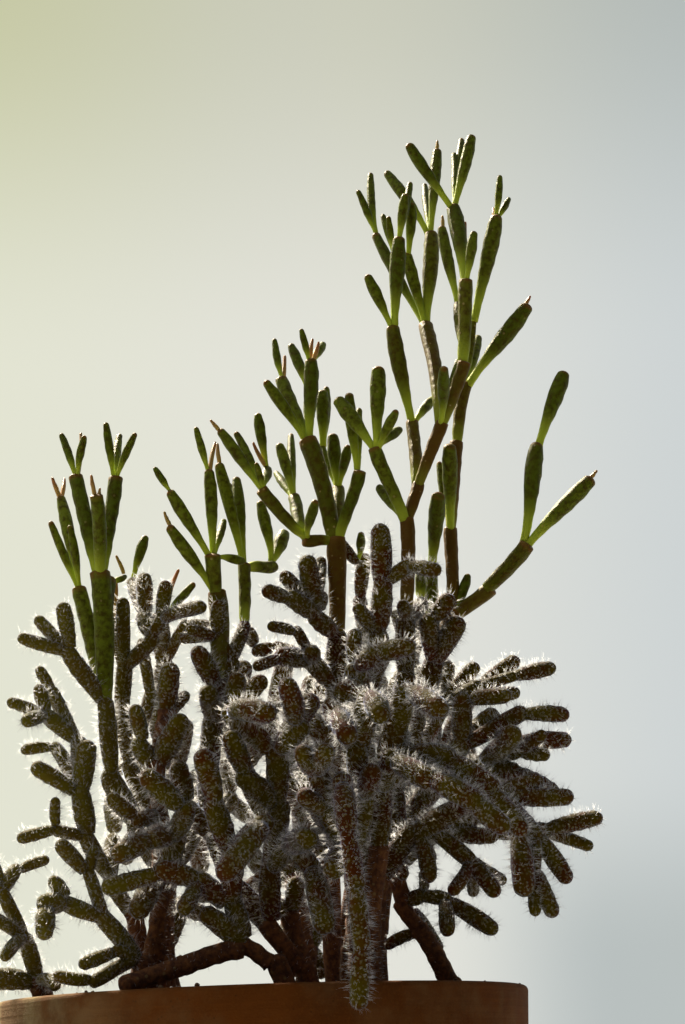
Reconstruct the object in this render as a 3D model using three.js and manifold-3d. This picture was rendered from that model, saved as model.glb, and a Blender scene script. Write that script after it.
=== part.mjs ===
// Dancing bones cactus growing in a plain brown clay pot. Sizes are in mm, up is +Z, the front faces -Y and the
// middle of the underside of the pot is the origin.
import * as THREE from "three";
import Module from "manifold-3d";

const wasm = await Module();
wasm.setup();
const { Manifold, Mesh } = wasm;

// Pot.
const POT_HEIGHT = 132;
const RIM_RADIUS = 75;
const COLLAR_HEIGHT = 26;
const COLLAR_DRAFT = 1.2;
const COLLAR_STEP = 4.5;
const BASE_RADIUS = 50;
const WALL = 6.2;
const FLOOR = 7;
const ROUNDING = 1.4;
const POT_SIDES = 48;
const DRAIN_HOLES = 3;
const DRAIN_RADIUS = 4.5;
const DRAIN_SIDES = 16;
const DRAIN_RING = 24;

// Soil: its level, its low rounded edge along the wall, and the sockets that the stems are rooted in.
const SOIL_BELOW_RIM = 8;
const SOIL_CROWN = 2.5;
const CROWN_RADIUS = 25;
const EDGE_WIDTH = 3;
const EDGE_DROP = 2;
const SOCKET_DEPTH = 7;

// Clearances of the soil from the floor, from the wall of the pot and from the rooted stems.
const FLOOR_GAP = 0.3;
const WALL_GAP = 0.45;
const ROOT_GAP = 0.36;

// Stems are placed as they are seen from the front: across, up from the rim of the pot, and how far back.
const VIEW = { across: 27.5, up: -22.5, distance: 570 };

// Each kind of segment: its radius, its number of sides, and its outline from base to tip as pairs of
// part of the length and part of the radius. A child starts inside the tip, INSET of the radius deep and up to
// SPREAD of the radius off the middle, on the side that it leans to.
const KINDS = {
  trunk: { radius: 2.9, sides: 5, outline: [[0, 0.9], [0.9, 1]] },
  wool: { radius: 3.4, sides: 5, outline: [[0, 0.75], [0.78, 1]] },
  finger: { radius: 2.5, sides: 5, outline: [[0, 0.7], [0.8, 1]] },
  wisp: { radius: 1.8, sides: 5, outline: [[0, 0.8], [0.84, 1]] },
  stem: { radius: 2.8, sides: 6, outline: [[0, 0.85], [0.93, 1]] },
  cane: { radius: 2.1, sides: 6, outline: [[0, 0.8], [0.93, 1]] },
  bone: { radius: 2.4, sides: 6, outline: [[0, 0.5], [0.5, 0.95], [0.92, 0.9]] },
  slim: { radius: 1.7, sides: 5, outline: [[0, 0.55], [0.5, 1], [0.92, 0.85]] },
  twig: { radius: 1.25, sides: 4, outline: [[0, 0.55], [0.5, 1], [0.92, 0.8]] },
  bud: { radius: 0.6, sides: 4, outline: [[0, 0.9], [0.6, 1]] },
};
const INSET = 0.6;
const SPREAD = 0.6;

const grow = (kind) => (across, up, back, ...grown) => ({ kind, across, up, back, grown });
const trunk = grow("trunk");
const wool = grow("wool");
const finger = grow("finger");
const wisp = grow("wisp");
const stem = grow("stem");
const cane = grow("cane");
const bone = grow("bone");
const slim = grow("slim");
const twig = grow("twig");
const bud = grow("bud");
const shoot = (name, x, y, first) => ({ name, x, y, first });

// Every shoot is named, has its foot at x, y in the soil, and lists what grows from the tip of what.
const SHOOTS = [
  shoot("left_tower_shoot", -30, 2,
    trunk(-28.5, 18, 4,
      trunk(-27.5, 38, 4,
        wool(-37, 51, 0,
          wool(-44.5, 66, -4,
            finger(-45, 88, -6,
              stem(-46.4, 126.5, -6,
                cane(-53.9, 157, -3,
                  twig(-58.4, 170.5, 0),
                  twig(-51, 169.5, -12),
                  bud(-52.3, 170.5, 7)),
                cane(-47.5, 150.5, -22,
                  bud(-49, 156.8, -24),
                  bud(-46.3, 152.5, -22)),
                cane(-41.5, 156, -3,
                  twig(-44.5, 173.6, -7),
                  twig(-40.2, 169.5, 9),
                  twig(-35.3, 169.8, -10))),
              cane(-43.4, 124, 3,
                twig(-38.5, 124.5, 8,
                  bud(-41.5, 131, 6))),
              cane(-52.8, 121.5, 0,
                slim(-58.5, 150.5, 9,
                  bud(-61, 156.5, 9),
                  bud(-57.3, 156, 14)),
                twig(-61.5, 142.5, -7),
                twig(-55.6, 141, -10)),
              finger(-56.8, 103.5, -12,
                finger(-57.9, 117, -14),
                wisp(-65.6, 112.8, -10),
                wisp(-71, 107, -16)))))))),
  shoot("left_inner_shoot", -28, 18,
    trunk(-28, 20, 18,
      trunk(-28, 40, 16,
        wool(-33, 56, 12,
          finger(-38.5, 69, 8,
            wisp(-38.5, 79, 14),
            finger(-40.3, 83, 6,
              finger(-39, 98, 6,
                wisp(-43, 112, 8,
                  bud(-41.5, 123, 8)),
                wisp(-39.5, 117.8, 2),
                finger(-29.5, 106, 4,
                  wool(-34, 112.5, 10,
                    finger(-33, 124.8, 15),
                    wisp(-36.9, 123.5, 22,
                      slim(-32.4, 136.8, 22))),
                  finger(-27.2, 112.5, 2,
                    finger(-26.2, 122.6, 1),
                    twig(-17.8, 121.5, -6),
                    wisp(-15, 114.3, -14),
                    bud(-22.5, 126, 4))))))),
        wisp(-31, 56, 24,
          wisp(-36, 73, 28,
            wisp(-31, 90, 30,
              wisp(-34, 105, 32)),
            wisp(-46, 86, 30),
            wisp(-41.5, 64, 24)))))),
  shoot("left_low_shoot", -36, -40,
    trunk(-33.8, 12.5, -38,
      wisp(-43, 14.3, -44,
        wisp(-52.5, 10.3, -48)),
      wisp(-49.5, 5, -46,
        wisp(-60, 7.8, -47)),
      finger(-47, 24.8, -42,
        finger(-58, 28.9, -44,
          finger(-60.8, 35.5, -45),
          wool(-64.2, 27.5, -50,
            wool(-62.5, 18, -54))),
        wisp(-50.3, 37.5, -38,
          finger(-58.8, 45.8, -42),
          wisp(-47.8, 44, -36))))),
  shoot("left_fan_shoot", -38, -14,
    trunk(-33.8, 13, -18,
      trunk(-37.2, 26, -20,
        finger(-44.6, 35.5, -22,
          finger(-51.2, 48.5, -24,
            wool(-52.5, 62, -24,
              wool(-50, 75, -22),
              finger(-66.5, 68.3, -30),
              wisp(-60.5, 74.2, -14,
                wisp(-69.8, 72.6, -16)),
              finger(-53, 76, -14,
                finger(-64, 84, -18,
                  wisp(-74, 87.5, -22),
                  finger(-65, 92, -16),
                  finger(-68.8, 81, -28)),
                wisp(-61, 91, -8,
                  wisp(-65, 97.5, -8)))),
            wisp(-60.3, 49.5, -30,
              wisp(-59.4, 58.5, -32),
              wisp(-70.5, 46.6, -34))),
          finger(-42.5, 47, -12))))),
  shoot("left_edge_shoot", -57, 2,
    trunk(-64.8, 8, -2,
      finger(-68.3, 20, -4,
        wisp(-75, 33, -6,
          finger(-69.5, 39, 0,
            wisp(-61, 40.6, 0)),
          finger(-86, 40, -12),
          wisp(-80, 46, 0)),
        wisp(-79, 25.5, -16),
        wisp(-74, 13, -18)),
      wool(-80, 7.5, -8),
      wisp(-58.5, 4.5, -14))),
  shoot("left_front_shoot", -31, -27,
    trunk(-30, 18, -30,
      trunk(-28.5, 36, -30,
        wool(-36.2, 23.5, -42),
        wool(-24, 48, -38,
          wool(-33, 44.5, -48,
            wool(-42.8, 40.5, -54)),
          wool(-21, 55, -48,
            wool(-34, 65, -54))),
        trunk(-29, 53, -30,
          finger(-36.5, 51, -42,
            finger(-44, 58.5, -46)),
          trunk(-30, 69, -30,
            trunk(-26, 84, -28,
              wool(-25, 97.5, -30),
              wisp(-20.5, 88, -22)),
            wool(-36, 75, -38,
              finger(-36.3, 85, -42)),
            wool(-21.5, 81.5, -40)))))),
  shoot("rim_arch_shoot", 12, -37,
    trunk(3, 11, -40,
      trunk(-7, 15, -42,
        trunk(-24, 8.5, -48,
          trunk(-41, 3.8, -52)),
        wool(-9, 28, -40,
          wool(-19, 34.5, -46,
            wool(-31, 36.5, -50,
              finger(-46, 31.5, -52)),
            finger(-23, 24, -54)),
          wool(-8, 44, -46,
            wool(-14, 57, -52,
              wool(-17, 71, -56)),
            wool(3, 49.5, -56,
              wool(-11.5, 33, -66)))),
        wool(-17.5, 24.5, -44)))),
  shoot("front_left_shoot", 15, -26,
    trunk(11.5, 9, -28,
      trunk(1, 21, -30,
        wool(3, 38, -32,
          wool(6, 56, -36,
            wool(-6, 64, -44,
              wool(-8.5, 76, -50)),
            wool(5, 72, -40,
              wool(-9.5, 83, -46,
                wool(5, 80.5, -58)),
              wool(14, 78, -50,
                wool(8.8, 91, -60)),
              wool(17.5, 86, -48))),
          wool(10, 43, -42,
            wool(17, 33, -52,
              wool(18.5, 17, -56)),
            wool(15, 44, -60)))),
      trunk(8, 24, -20,
        wool(10.5, 33, -26),
        wool(2, 26.5, -24)))),
  shoot("left_middle_shoot", 17, -13,
    trunk(12, 8, -14,
      trunk(1, 20, -17,
        wool(-9, 32, -16,
          wool(-19, 28.5, -18),
          wool(-14, 48, -14,
            wool(-15, 64, -12,
              wool(-13, 82, -10,
                wool(-14.5, 88.5, -26),
                wool(-5.5, 84, -20,
                  wool(-5.2, 93.5, -24)),
                wool(-10.5, 92, -12,
                  wool(-18, 102, -18),
                  wisp(-5.5, 97.5, -6,
                    wisp(-12.5, 106, -8,
                      wisp(-20.5, 107.6, -14),
                      finger(-10.7, 116, -10),
                      wisp(-22.5, 104.5, -4))),
                  stem(-11.3, 119, -2,
                    slim(-25.5, 139.8, -16,
                      bud(-26.8, 144.3, -16)),
                    stem(-12.3, 130.5, -9,
                      slim(-13, 157.3, -7,
                        twig(-16.8, 171, -7),
                        bud(-10.8, 166, -2)),
                      slim(-25.2, 151, -16,
                        twig(-29.7, 158.5, -16)),
                      twig(-8.6, 141, 4),
                      slim(-2.5, 127.6, -2))),
                  wisp(-2.5, 109, 4,
                    cane(-2.8, 127, 5,
                      slim(-9.9, 159.2, 4,
                        bud(-10.2, 165.5, 6)),
                      slim(-4.6, 154.3, 15),
                      twig(-7, 152.5, 17),
                      cane(6.5, 125.8, 7,
                        slim(2.5, 146.5, 17),
                        bone(9.8, 136.5, 22))))))),
            wool(-23, 56, -22,
              wool(-24, 68, -28))))))),
  shoot("hanging_shoot", 27, -42,
    trunk(27.5, 22, -44,
      trunk(26.5, 42, -46,
        wool(24, 56, -56,
          wool(24.5, 61, -68,
            wool(25.5, 45, -75,
              finger(28, 28, -78,
                finger(28.6, 11, -81,
                  finger(27, -5, -82)))))),
        wool(31.5, 58, -48,
          wool(29, 72, -54,
            wool(23.5, 82, -56,
              wool(27.5, 72, -68)),
            wool(34, 87, -56,
              wool(37, 78, -68))),
          wool(34, 64, -60)),
        wool(18, 54, -54,
          wool(16.5, 66, -60,
            wool(12.5, 70, -70),
            wool(20, 70, -72)),
          wool(12, 57, -62)),
        wool(20.5, 33.5, -52)))),
  shoot("front_right_shoot", 31, -31,
    trunk(31, 20, -34,
      trunk(35, 42, -38,
        wool(36, 60, -42,
          wool(40, 68, -54,
            wool(52, 59, -64,
              wool(65, 51.5, -70,
                wool(72.5, 44, -72)))),
          wool(46, 70, -46,
            wool(58, 65, -56,
              wool(70, 55, -60,
                finger(77, 42.5, -62)))),
          wool(46, 88, -52,
            wool(55.5, 79.8, -67)))))),
  shoot("woolly_column_shoot", 24, -18,
    trunk(26, 14, -20,
      trunk(29, 34, -20,
        wool(20.5, 46, -26,
          wool(14, 58, -30),
          wool(21, 61, -34)),
        wool(31, 54, -20,
          wool(22, 70, -24,
            wool(15, 80, -26),
            wool(22, 85, -20)),
          wool(32, 74, -20,
            wool(41, 85, -18),
            wool(34, 89, -20,
              wool(28, 94.5, -30,
                finger(30, 105.5, -26),
                wool(38, 99, -38,
                  wool(47.5, 100, -44))),
              wool(37, 106, -18,
                finger(30.5, 113.2, -24),
                wool(38.8, 122, -20,
                  wool(38.6, 138, -22),
                  finger(48.5, 125.5, -24,
                    finger(56.5, 122.5, -30)))),
              wool(24, 86, -34))))))),
  shoot("middle_shoot", 21, 23,
    trunk(20, 18, 22,
      trunk(20, 38, 20,
        wool(13, 51, 22,
          wool(7, 63, 26),
          wool(15, 66, 24)),
        wool(22, 56, 18,
          wool(15, 71, 26,
            wool(9, 83, 30),
            wool(18, 85, 32)),
          wool(31, 70, 26,
            wool(35, 84, 28)),
          wool(23, 75, 16,
            wool(24, 91, 12,
              wool(25, 106, 10,
                stem(25.2, 134.5, 8,
                  stem(17.3, 166.3, 8,
                    slim(4.9, 185.4, -1),
                    cane(9.9, 185.9, 17,
                      twig(8.2, 199.2, 20),
                      bud(11.3, 193.5, 22)),
                    bone(19.4, 192.3, 6,
                      twig(16.6, 202.2, 3),
                      slim(23.6, 197, 15),
                      bud(20.2, 198.7, 10),
                      bud(22, 197.7, 4)),
                    slim(18.5, 182, 26,
                      slim(13.1, 197.1, 31))),
                  cane(26.5, 150, 22,
                    twig(22, 163.5, 31,
                      bone(22.6, 181.5, 31),
                      twig(23.9, 182.6, 40)),
                    bone(25.4, 167.2, 22),
                    slim(30, 163.4, 13)),
                  cane(33.4, 155.2, -1,
                    slim(30.9, 180.4, -4),
                    twig(33.9, 175.2, 8),
                    twig(31.6, 167, 17)),
                  cane(15.2, 133.5, 4,
                    cane(2.7, 150.4, -6,
                      slim(-9.6, 170, -8,
                        bud(-12.3, 173.2, -8)),
                      slim(5, 157, 8,
                        slim(2.4, 174.8, 8),
                        bud(0.8, 165.5, 3)),
                      twig(1.5, 158.8, -10),
                      twig(-1.4, 162.8, 1),
                      twig(-4.6, 168.9, 1)),
                    cane(12.8, 147.6, 17,
                      slim(8.7, 164.6, 20),
                      twig(7.4, 155.5, 29),
                      twig(12.5, 167.6, 33)),
                    slim(19.4, 146, -10)),
                  wisp(31.8, 126, 14,
                    slim(33, 135.5, 8))),
                wool(17, 111, 2,
                  wool(16, 129, -2),
                  wool(9.5, 117, -6,
                    finger(2.8, 118.6, -12)),
                  finger(8.3, 123.8, 6),
                  wool(21, 117, 6),
                  wisp(20.5, 128, 10))),
              wool(14.5, 98.5, 4,
                wool(6.5, 98, -6,
                  wisp(-0.5, 95, -12)),
                wisp(11.8, 106.8, 0,
                  wisp(4, 107.5, -6)),
                wool(17, 99.5, -6),
                wisp(5, 101.5, 8,
                  finger(-1, 100, 10,
                    finger(-2.2, 107.3, 6)))))))))),
  shoot("tall_shoot", 57, -7,
    trunk(53.4, 3.2, -8,
      trunk(44.2, 18, -9,
        wisp(34.6, 12.2, -4),
        wisp(44.5, 22, 0,
          wisp(51.2, 10.5, 0)),
        trunk(39.8, 25.5, -10,
          finger(48, 26.8, -13,
            finger(54.8, 24.6, -16,
              finger(67.5, 15.2, -18),
              finger(53.5, 15, -24)),
            wisp(47, 33.5, -8)),
          trunk(38.5, 40, -8,
            finger(41.5, 31, -24),
            wool(40, 58, -4,
              wool(42, 76, -2,
                wool(45, 93, -2,
                  wool(45.5, 110, -2,
                    finger(50.5, 113.5, 6,
                      cane(50.4, 121.8, 10)),
                    cane(46.9, 139.5, -2,
                      cane(37.9, 162.5, -10,
                        bone(40.2, 188.8, -14),
                        bone(27, 178.7, -5),
                        slim(45.4, 174.2, -19),
                        slim(46.4, 168, 0)),
                      slim(38.6, 149.8, 10),
                      cane(51.2, 150.5, 0,
                        cane(49.9, 170.5, 10,
                          bone(45.2, 202.4, 5,
                            bone(48.6, 232.4, 0,
                              slim(51.3, 247, -5),
                              twig(53, 250.8, 10)),
                            slim(37.8, 219.6, 0),
                            slim(46.8, 227, 22,
                              twig(43.7, 240, 26),
                              twig(45.5, 239.4, 17))),
                          slim(57, 177.5, 19)),
                        cane(59.5, 170, -5,
                          cane(67.2, 189.5, -14,
                            cane(69, 216.9, -14,
                              slim(72.5, 233.2, -19),
                              bud(69.8, 236.5, -5),
                              bone(66, 242.5, -5,
                                slim(52.8, 264.6, -12),
                                slim(73.5, 266.8, -5),
                                twig(67.4, 260.5, 7),
                                twig(70.2, 265.4, 12))),
                            slim(66, 209, 2,
                              slim(62.2, 235.3, 7,
                                bud(62.6, 239, 7)))),
                          slim(60.6, 187.8, -24),
                          twig(65.3, 190, 7),
                          cane(55.5, 202.2, 14,
                            slim(41, 233.6, 29,
                              twig(36, 248.8, 29),
                              twig(40.4, 254.6, 36)),
                            slim(50.8, 226.7, 12,
                              slim(53.2, 243.8, 7)),
                            bone(58.7, 233.5, 19,
                              slim(45.4, 254.8, 29),
                              slim(62.2, 262.2, 24,
                                bud(62.3, 265.4, 24)),
                              twig(57.5, 250, 36)))))),
                    finger(44.4, 113.4, -14)))))))))),
  shoot("right_tall_shoot", 31, 13,
    trunk(31, 9, 14,
      trunk(32, 26, 14,
        trunk(36, 44, 14,
          wool(42, 62, 14,
            wool(48, 80, 13,
              wool(54, 97, 10,
                wool(52.5, 109, 2,
                  wool(59.5, 115, -6)),
                wool(61.5, 107.5, -4),
                cane(53.5, 122, 16,
                  bone(57, 147, -2)),
                stem(60.5, 110.5, 8,
                  stem(71.8, 116.8, 5,
                    stem(83.3, 130, -6,
                      bone(88.1, 162, -6,
                        bone(98, 184.8, -6)),
                      bone(104.2, 150, -11,
                        bud(105.8, 152.4, -11)))),
                  slim(64.7, 121.2, 10),
                  cane(60, 136, 13,
                    bone(61.1, 162.6, -1),
                    twig(57.6, 157, 18),
                    cane(63.4, 163.5, 16,
                      cane(67.6, 182.5, 16,
                        bone(88.2, 207.7, 4,
                          bud(89, 210.4, 4)),
                        slim(71.8, 197.5, 28),
                        twig(70.8, 203, 18,
                          bone(80, 238.6, 9,
                            twig(81.7, 252.2, 9),
                            twig(84.3, 244.2, 13),
                            bud(79, 241, 13)))))))))))))),
  shoot("right_upper_shoot", 32, 34,
    trunk(31, 14, 34,
      trunk(32, 34, 33,
        wool(38, 52, 30,
          wool(46, 68, 26,
            wool(55, 82, 20,
              finger(66, 93.8, 16),
              finger(67.5, 87.5, 8,
                finger(78.4, 95, 8),
                wisp(78, 89.8, 2,
                  finger(89.3, 91.8, 0))),
              wool(66, 84, 30,
                finger(78, 84.5, 34)),
              wool(57, 95, 26)),
            wool(48, 82, 34,
              wool(46, 98, 40,
                wool(50, 111, 42),
                wisp(42, 111, 34)))))))),
  shoot("right_middle_shoot", 29, -4,
    trunk(30, 12, -2,
      trunk(33, 34, -2,
        wool(43, 50, -6,
          wool(55, 61, -12,
            wool(62, 72, -18,
              wool(71, 79, -12),
              wool(62, 85, -24,
                finger(75.5, 83.8, -30)),
              finger(80, 79.2, -22,
                finger(92.3, 77.2, -24))),
            wool(69, 65, -14,
              wool(77, 71.3, -6,
                finger(92.3, 70, -4)),
              wisp(78, 67, -18,
                wisp(85, 72.3, -24),
                finger(85.8, 65.6, -16)),
              wool(76, 73.5, -32),
              wool(77, 60.5, -20,
                finger(87.5, 54, -24)))))))),
  shoot("right_low_shoot", 32, -17,
    trunk(31.5, 14, -17,
      trunk(35, 34, -17,
        wool(46, 46, -20,
          finger(49, 30, -28),
          wisp(50.3, 36, -14),
          wool(60, 52, -30,
            wool(73, 55, -34,
              wool(83.5, 58.5, -34),
              finger(92, 53.3, -38),
              finger(81.5, 40.5, -38,
                finger(89, 28.3, -36),
                wisp(79.2, 31, -44,
                  finger(84.2, 18.8, -46),
                  wisp(78.6, 19.5, -48))),
              wool(75.7, 41.5, -46,
                wool(75.8, 25, -50)))),
          finger(52.5, 44.5, -22,
            finger(62, 34.5, -22,
              finger(68.2, 25.3, -24),
              wisp(70.5, 29.3, -14),
              wisp(61.3, 26, -10),
              wisp(54.6, 26.5, -30))))))),
  shoot("right_side_shoot", 33.5, 4,
    trunk(33, 18, 4,
      trunk(38, 36, 4,
        wool(54, 46, 2,
          finger(69.5, 42.8, 0,
            wisp(62, 43.5, 6),
            finger(84.5, 43.8, -4,
              finger(100, 47, -8),
              wisp(96.5, 38.3, -2),
              wisp(73, 32, 2))),
          wool(68, 51, 4,
            wool(73, 61, 8),
            wool(80, 57, 6))),
        wool(50, 53, 10)))),
  shoot("back_left_shoot", -24, 36,
    trunk(-28.5, 16, 40,
      trunk(-27, 36, 44,
        wool(-35, 50, 50,
          wool(-43, 62, 58,
            wool(-42, 47.5, 70)),
          wool(-39.5, 38.5, 58),
          wool(-31, 66, 54,
            wool(-38, 78, 60))),
        wool(-19, 50, 54,
          wool(-25, 67, 62,
            wool(-30, 84, 62,
              wool(-27, 100, 58,
                wool(-29, 113, 54),
                wisp(-20, 110, 52,
                  wisp(-12, 108, 48)))),
            wool(-21, 80, 70)),
          wool(-17.5, 65, 60),
          wool(-7, 57, 66,
            wool(-9, 74, 74),
            wool(-2.5, 50, 76)),
          wool(-17, 35.5, 72))),
      wool(-22, 27.5, 52,
        wool(-15.5, 23, 60)))),
  shoot("back_middle_shoot", 10, 32,
    trunk(13, 14, 36,
      trunk(9, 34, 42,
        wool(2, 50, 48,
          wool(-5, 66, 52,
            wool(-9, 83, 56,
              wool(3, 92, 54),
              wool(-3, 97, 60)),
            wool(-14, 88, 44),
            wool(2, 75, 44)),
          wool(6, 66, 62,
            wool(4, 83, 66,
              wool(12, 86, 56),
              wool(9, 98, 66)),
            wool(13, 61, 78,
              wool(12, 45, 86)),
            wool(14.5, 74, 68,
              wool(17, 91.5, 74)))),
        wool(17, 48, 58,
          wool(20, 64, 70,
            wool(27, 75, 80)),
          wool(25, 43, 76)),
        wool(-1.5, 33.5, 50,
          wool(-3, 41.5, 58),
          wool(-9, 24, 58))),
      wool(7, 20, 50),
      wool(18.5, 24, 48),
      wool(17.5, 4.5, 44))),
  shoot("back_right_shoot", 21, 50,
    trunk(23.5, 16, 54,
      trunk(28, 34, 54,
        wool(37, 48, 60,
          wool(48, 58, 66,
            wool(52, 77, 72),
            wool(64, 68, 60),
            wool(57, 72, 68,
              wool(64, 86, 72)),
            wool(61, 58, 76,
              wool(71, 64, 84))),
          wool(40, 63, 74,
            wool(38, 80, 80,
              wool(45, 93, 80),
              wool(36, 92, 86)),
            wool(48, 55, 88))),
        wool(24, 52, 56,
          wool(21, 70, 54,
            wool(15.5, 60.5, 64),
            wool(16.5, 77, 60),
            wool(18, 88, 50,
              wool(25, 102, 48)),
            wool(24, 84, 66,
              wool(20, 96, 72)),
            wool(31, 86, 60,
              wool(33, 102, 66,
                finger(31.5, 116, 70,
                  finger(34, 129, 66))),
              wool(40, 100, 56))))))),
];

const FINISHES = {
  clay: { color: "#63431f", roughness: 0.85, metalness: 0 },
  soil: { color: "#3b2c1f", roughness: 0.95, metalness: 0 },
  smooth: { color: "#4f5a1e", roughness: 0.7, metalness: 0 },
  woolly: { color: "#6d6647", roughness: 0.9, metalness: 0 },
};

// The point in space that is seen from the front at across and up, when it lies so far back.
function place({ across, up, back }) {
  const reach = 1 + back / VIEW.distance;
  const x = VIEW.across + (across - VIEW.across) * reach;
  const z = POT_HEIGHT + VIEW.up + (up - VIEW.up) * reach;
  return new THREE.Vector3(x, back, z);
}

// How the point x, y, z is seen: the reverse of place.
function seen(x, y, z) {
  const reach = 1 + y / VIEW.distance;
  const across = VIEW.across + (x - VIEW.across) / reach;
  const up = VIEW.up + (z - POT_HEIGHT - VIEW.up) / reach;
  return { across, up, back: y, fixed: true };
}

// All segments of all shoots, each with the joint it starts from and the joint at its tip.
const SOIL_TOP = POT_HEIGHT - SOIL_BELOW_RIM;
const segments = [];
SHOOTS.forEach((owner) => {
  const foot = seen(owner.x, owner.y, SOIL_TOP - SOCKET_DEPTH);
  const add = (base, tip, below) => {
    const segment = { owner, base, tip, below, ...KINDS[tip.kind] };
    segments.push(segment);
    tip.grown.forEach((next) => add(tip, next, segment));
  };
  add(foot, owner.first, null);
});

// The nearest points of two straight pieces, as the part of the way along each. Where the two are parallel, the
// middle of the first is taken.
const PARALLEL = 1e-6;
function nearest(a, b, c, d) {
  const along = b.clone().sub(a);
  const other = d.clone().sub(c);
  const between = a.clone().sub(c);
  const aa = along.dot(along);
  const bb = other.dot(other);
  const ab = along.dot(other);
  const af = along.dot(between);
  const bf = other.dot(between);
  const spread = aa * bb - ab * ab;
  const limit = (value) => Math.min(1, Math.max(0, value));
  let s = spread > PARALLEL * aa * bb ? limit((ab * bf - af * bb) / spread) : 0.5;
  const t = limit((ab * s + bf) / bb);
  s = limit((ab * t - af) / aa);
  const gap = a.clone().addScaledVector(along, s).sub(c.clone().addScaledVector(other, t));
  return { s, t, gap };
}

// Pairs of segments of different shoots that cross as seen from the front.
const CLEAR = 0.5;
function crossing() {
  const boxes = segments.map(({ base, tip, radius }) => {
    const reach = radius + CLEAR;
    return {
      left: Math.min(base.across, tip.across) - reach,
      right: Math.max(base.across, tip.across) + reach,
      low: Math.min(base.up, tip.up) - reach,
      high: Math.max(base.up, tip.up) + reach,
    };
  });
  const pairs = [];
  for (let i = 0; i < segments.length; i += 1) {
    for (let j = i + 1; j < segments.length; j += 1) {
      const [one, two] = [boxes[i], boxes[j]];
      const beside = one.right < two.left || two.right < one.left;
      const apart = one.high < two.low || two.high < one.low;
      if (segments[i].owner !== segments[j].owner && !beside && !apart) {
        pairs.push([segments[i], segments[j]]);
      }
    }
  }
  return pairs;
}

// Shoots make way for each other: where two come too close, one leans forward and the other back.
const ROUNDS = 240;
const EASE = 0.45;
const LEAST_SLOPE = 0.4;
function makeWay() {
  const pairs = crossing();
  for (let round = 0; round < ROUNDS; round += 1) {
    const moves = new Map();
    const push = (joint, amount) => {
      if (!joint.fixed) {
        moves.set(joint, (moves.get(joint) ?? 0) + amount);
      }
    };
    for (const [one, two] of pairs) {
      const ends = [one.base, one.tip, two.base, two.tip].map(place);
      const { s, t, gap } = nearest(...ends);
      const lack = one.radius + two.radius + CLEAR - gap.length();
      if (lack > 0) {
        const slope = Math.max(Math.abs(gap.y) / Math.max(gap.length(), CLEAR), LEAST_SLOPE);
        const step = Math.sign(gap.y || 1) * EASE * lack / slope;
        push(one.base, step * (1 - s));
        push(one.tip, step * s);
        push(two.base, -step * (1 - t));
        push(two.tip, -step * t);
      }
    }
    moves.forEach((amount, joint) => {
      joint.back += amount;
    });
  }
}
makeWay();

// A closed solid turned about +Z. The outline is a list of [radius, height] that starts and ends on the axis.
function turned(outline, sides) {
  const rings = outline.slice(1, -1);
  const points = [[0, 0, outline[0][1]]];
  for (const [radius, height] of rings) {
    for (let i = 0; i < sides; i += 1) {
      const angle = (2 * Math.PI * i) / sides;
      points.push([radius * Math.cos(angle), radius * Math.sin(angle), height]);
    }
  }
  points.push([0, 0, outline.at(-1)[1]]);
  const last = points.length - 1;
  const faces = [];
  for (let i = 0; i < sides; i += 1) {
    const next = (i + 1) % sides;
    faces.push([0, 1 + next, 1 + i]);
    for (let ring = 0; ring < rings.length - 1; ring += 1) {
      const low = 1 + ring * sides;
      const high = low + sides;
      faces.push([low + i, low + next, high + next]);
      faces.push([low + i, high + next, high + i]);
    }
    faces.push([last - sides + i, last - sides + next, last]);
  }
  const vertProperties = new Float32Array(points.flat());
  const triVerts = new Uint32Array(faces.flat());
  return new Manifold(new Mesh({ numProp: 3, vertProperties, triVerts }));
}

// A solid moved so that its axis runs from one point towards another.
const AXIS = new THREE.Vector3(0, 0, 1);
function aimed(solid, from, to) {
  const heading = to.clone().sub(from).normalize();
  const turn = new THREE.Quaternion().setFromUnitVectors(AXIS, heading);
  const matrix = new THREE.Matrix4().compose(from, turn, new THREE.Vector3(1, 1, 1));
  return solid.transform(matrix.elements);
}

// One segment; margin makes it fatter and longer at its base, for the socket in the soil.
function segmentSolid({ base, tip, below, radius, sides, outline }, margin = 0) {
  const to = place(tip);
  const from = place(base);
  if (below) {
    const down = place(below.base).sub(from).normalize();
    const lean = to.clone().sub(from).normalize();
    lean.addScaledVector(down, -lean.dot(down));
    from.addScaledVector(down, INSET * below.radius).addScaledVector(lean, SPREAD * below.radius);
  } else {
    from.addScaledVector(to.clone().sub(from).normalize(), -margin);
  }
  const length = from.distanceTo(to);
  const rings = outline.map(([along, wide]) => [radius * wide + margin, length * along]);
  return aimed(turned([[0, 0], ...rings, [0, length]], sides), from, to);
}

// The segments of one shoot grown together. Only its outer skin is kept, so pockets between segments are filled.
const MERGE = 0.08;
function shootSolid(owner) {
  const solids = segments.filter((segment) => segment.owner === owner).map((segment) => segmentSolid(segment));
  const skins = Manifold.union(solids).simplify(MERGE).decompose();
  return skins.reduce((most, skin) => (skin.volume() > most.volume() ? skin : most));
}

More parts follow.
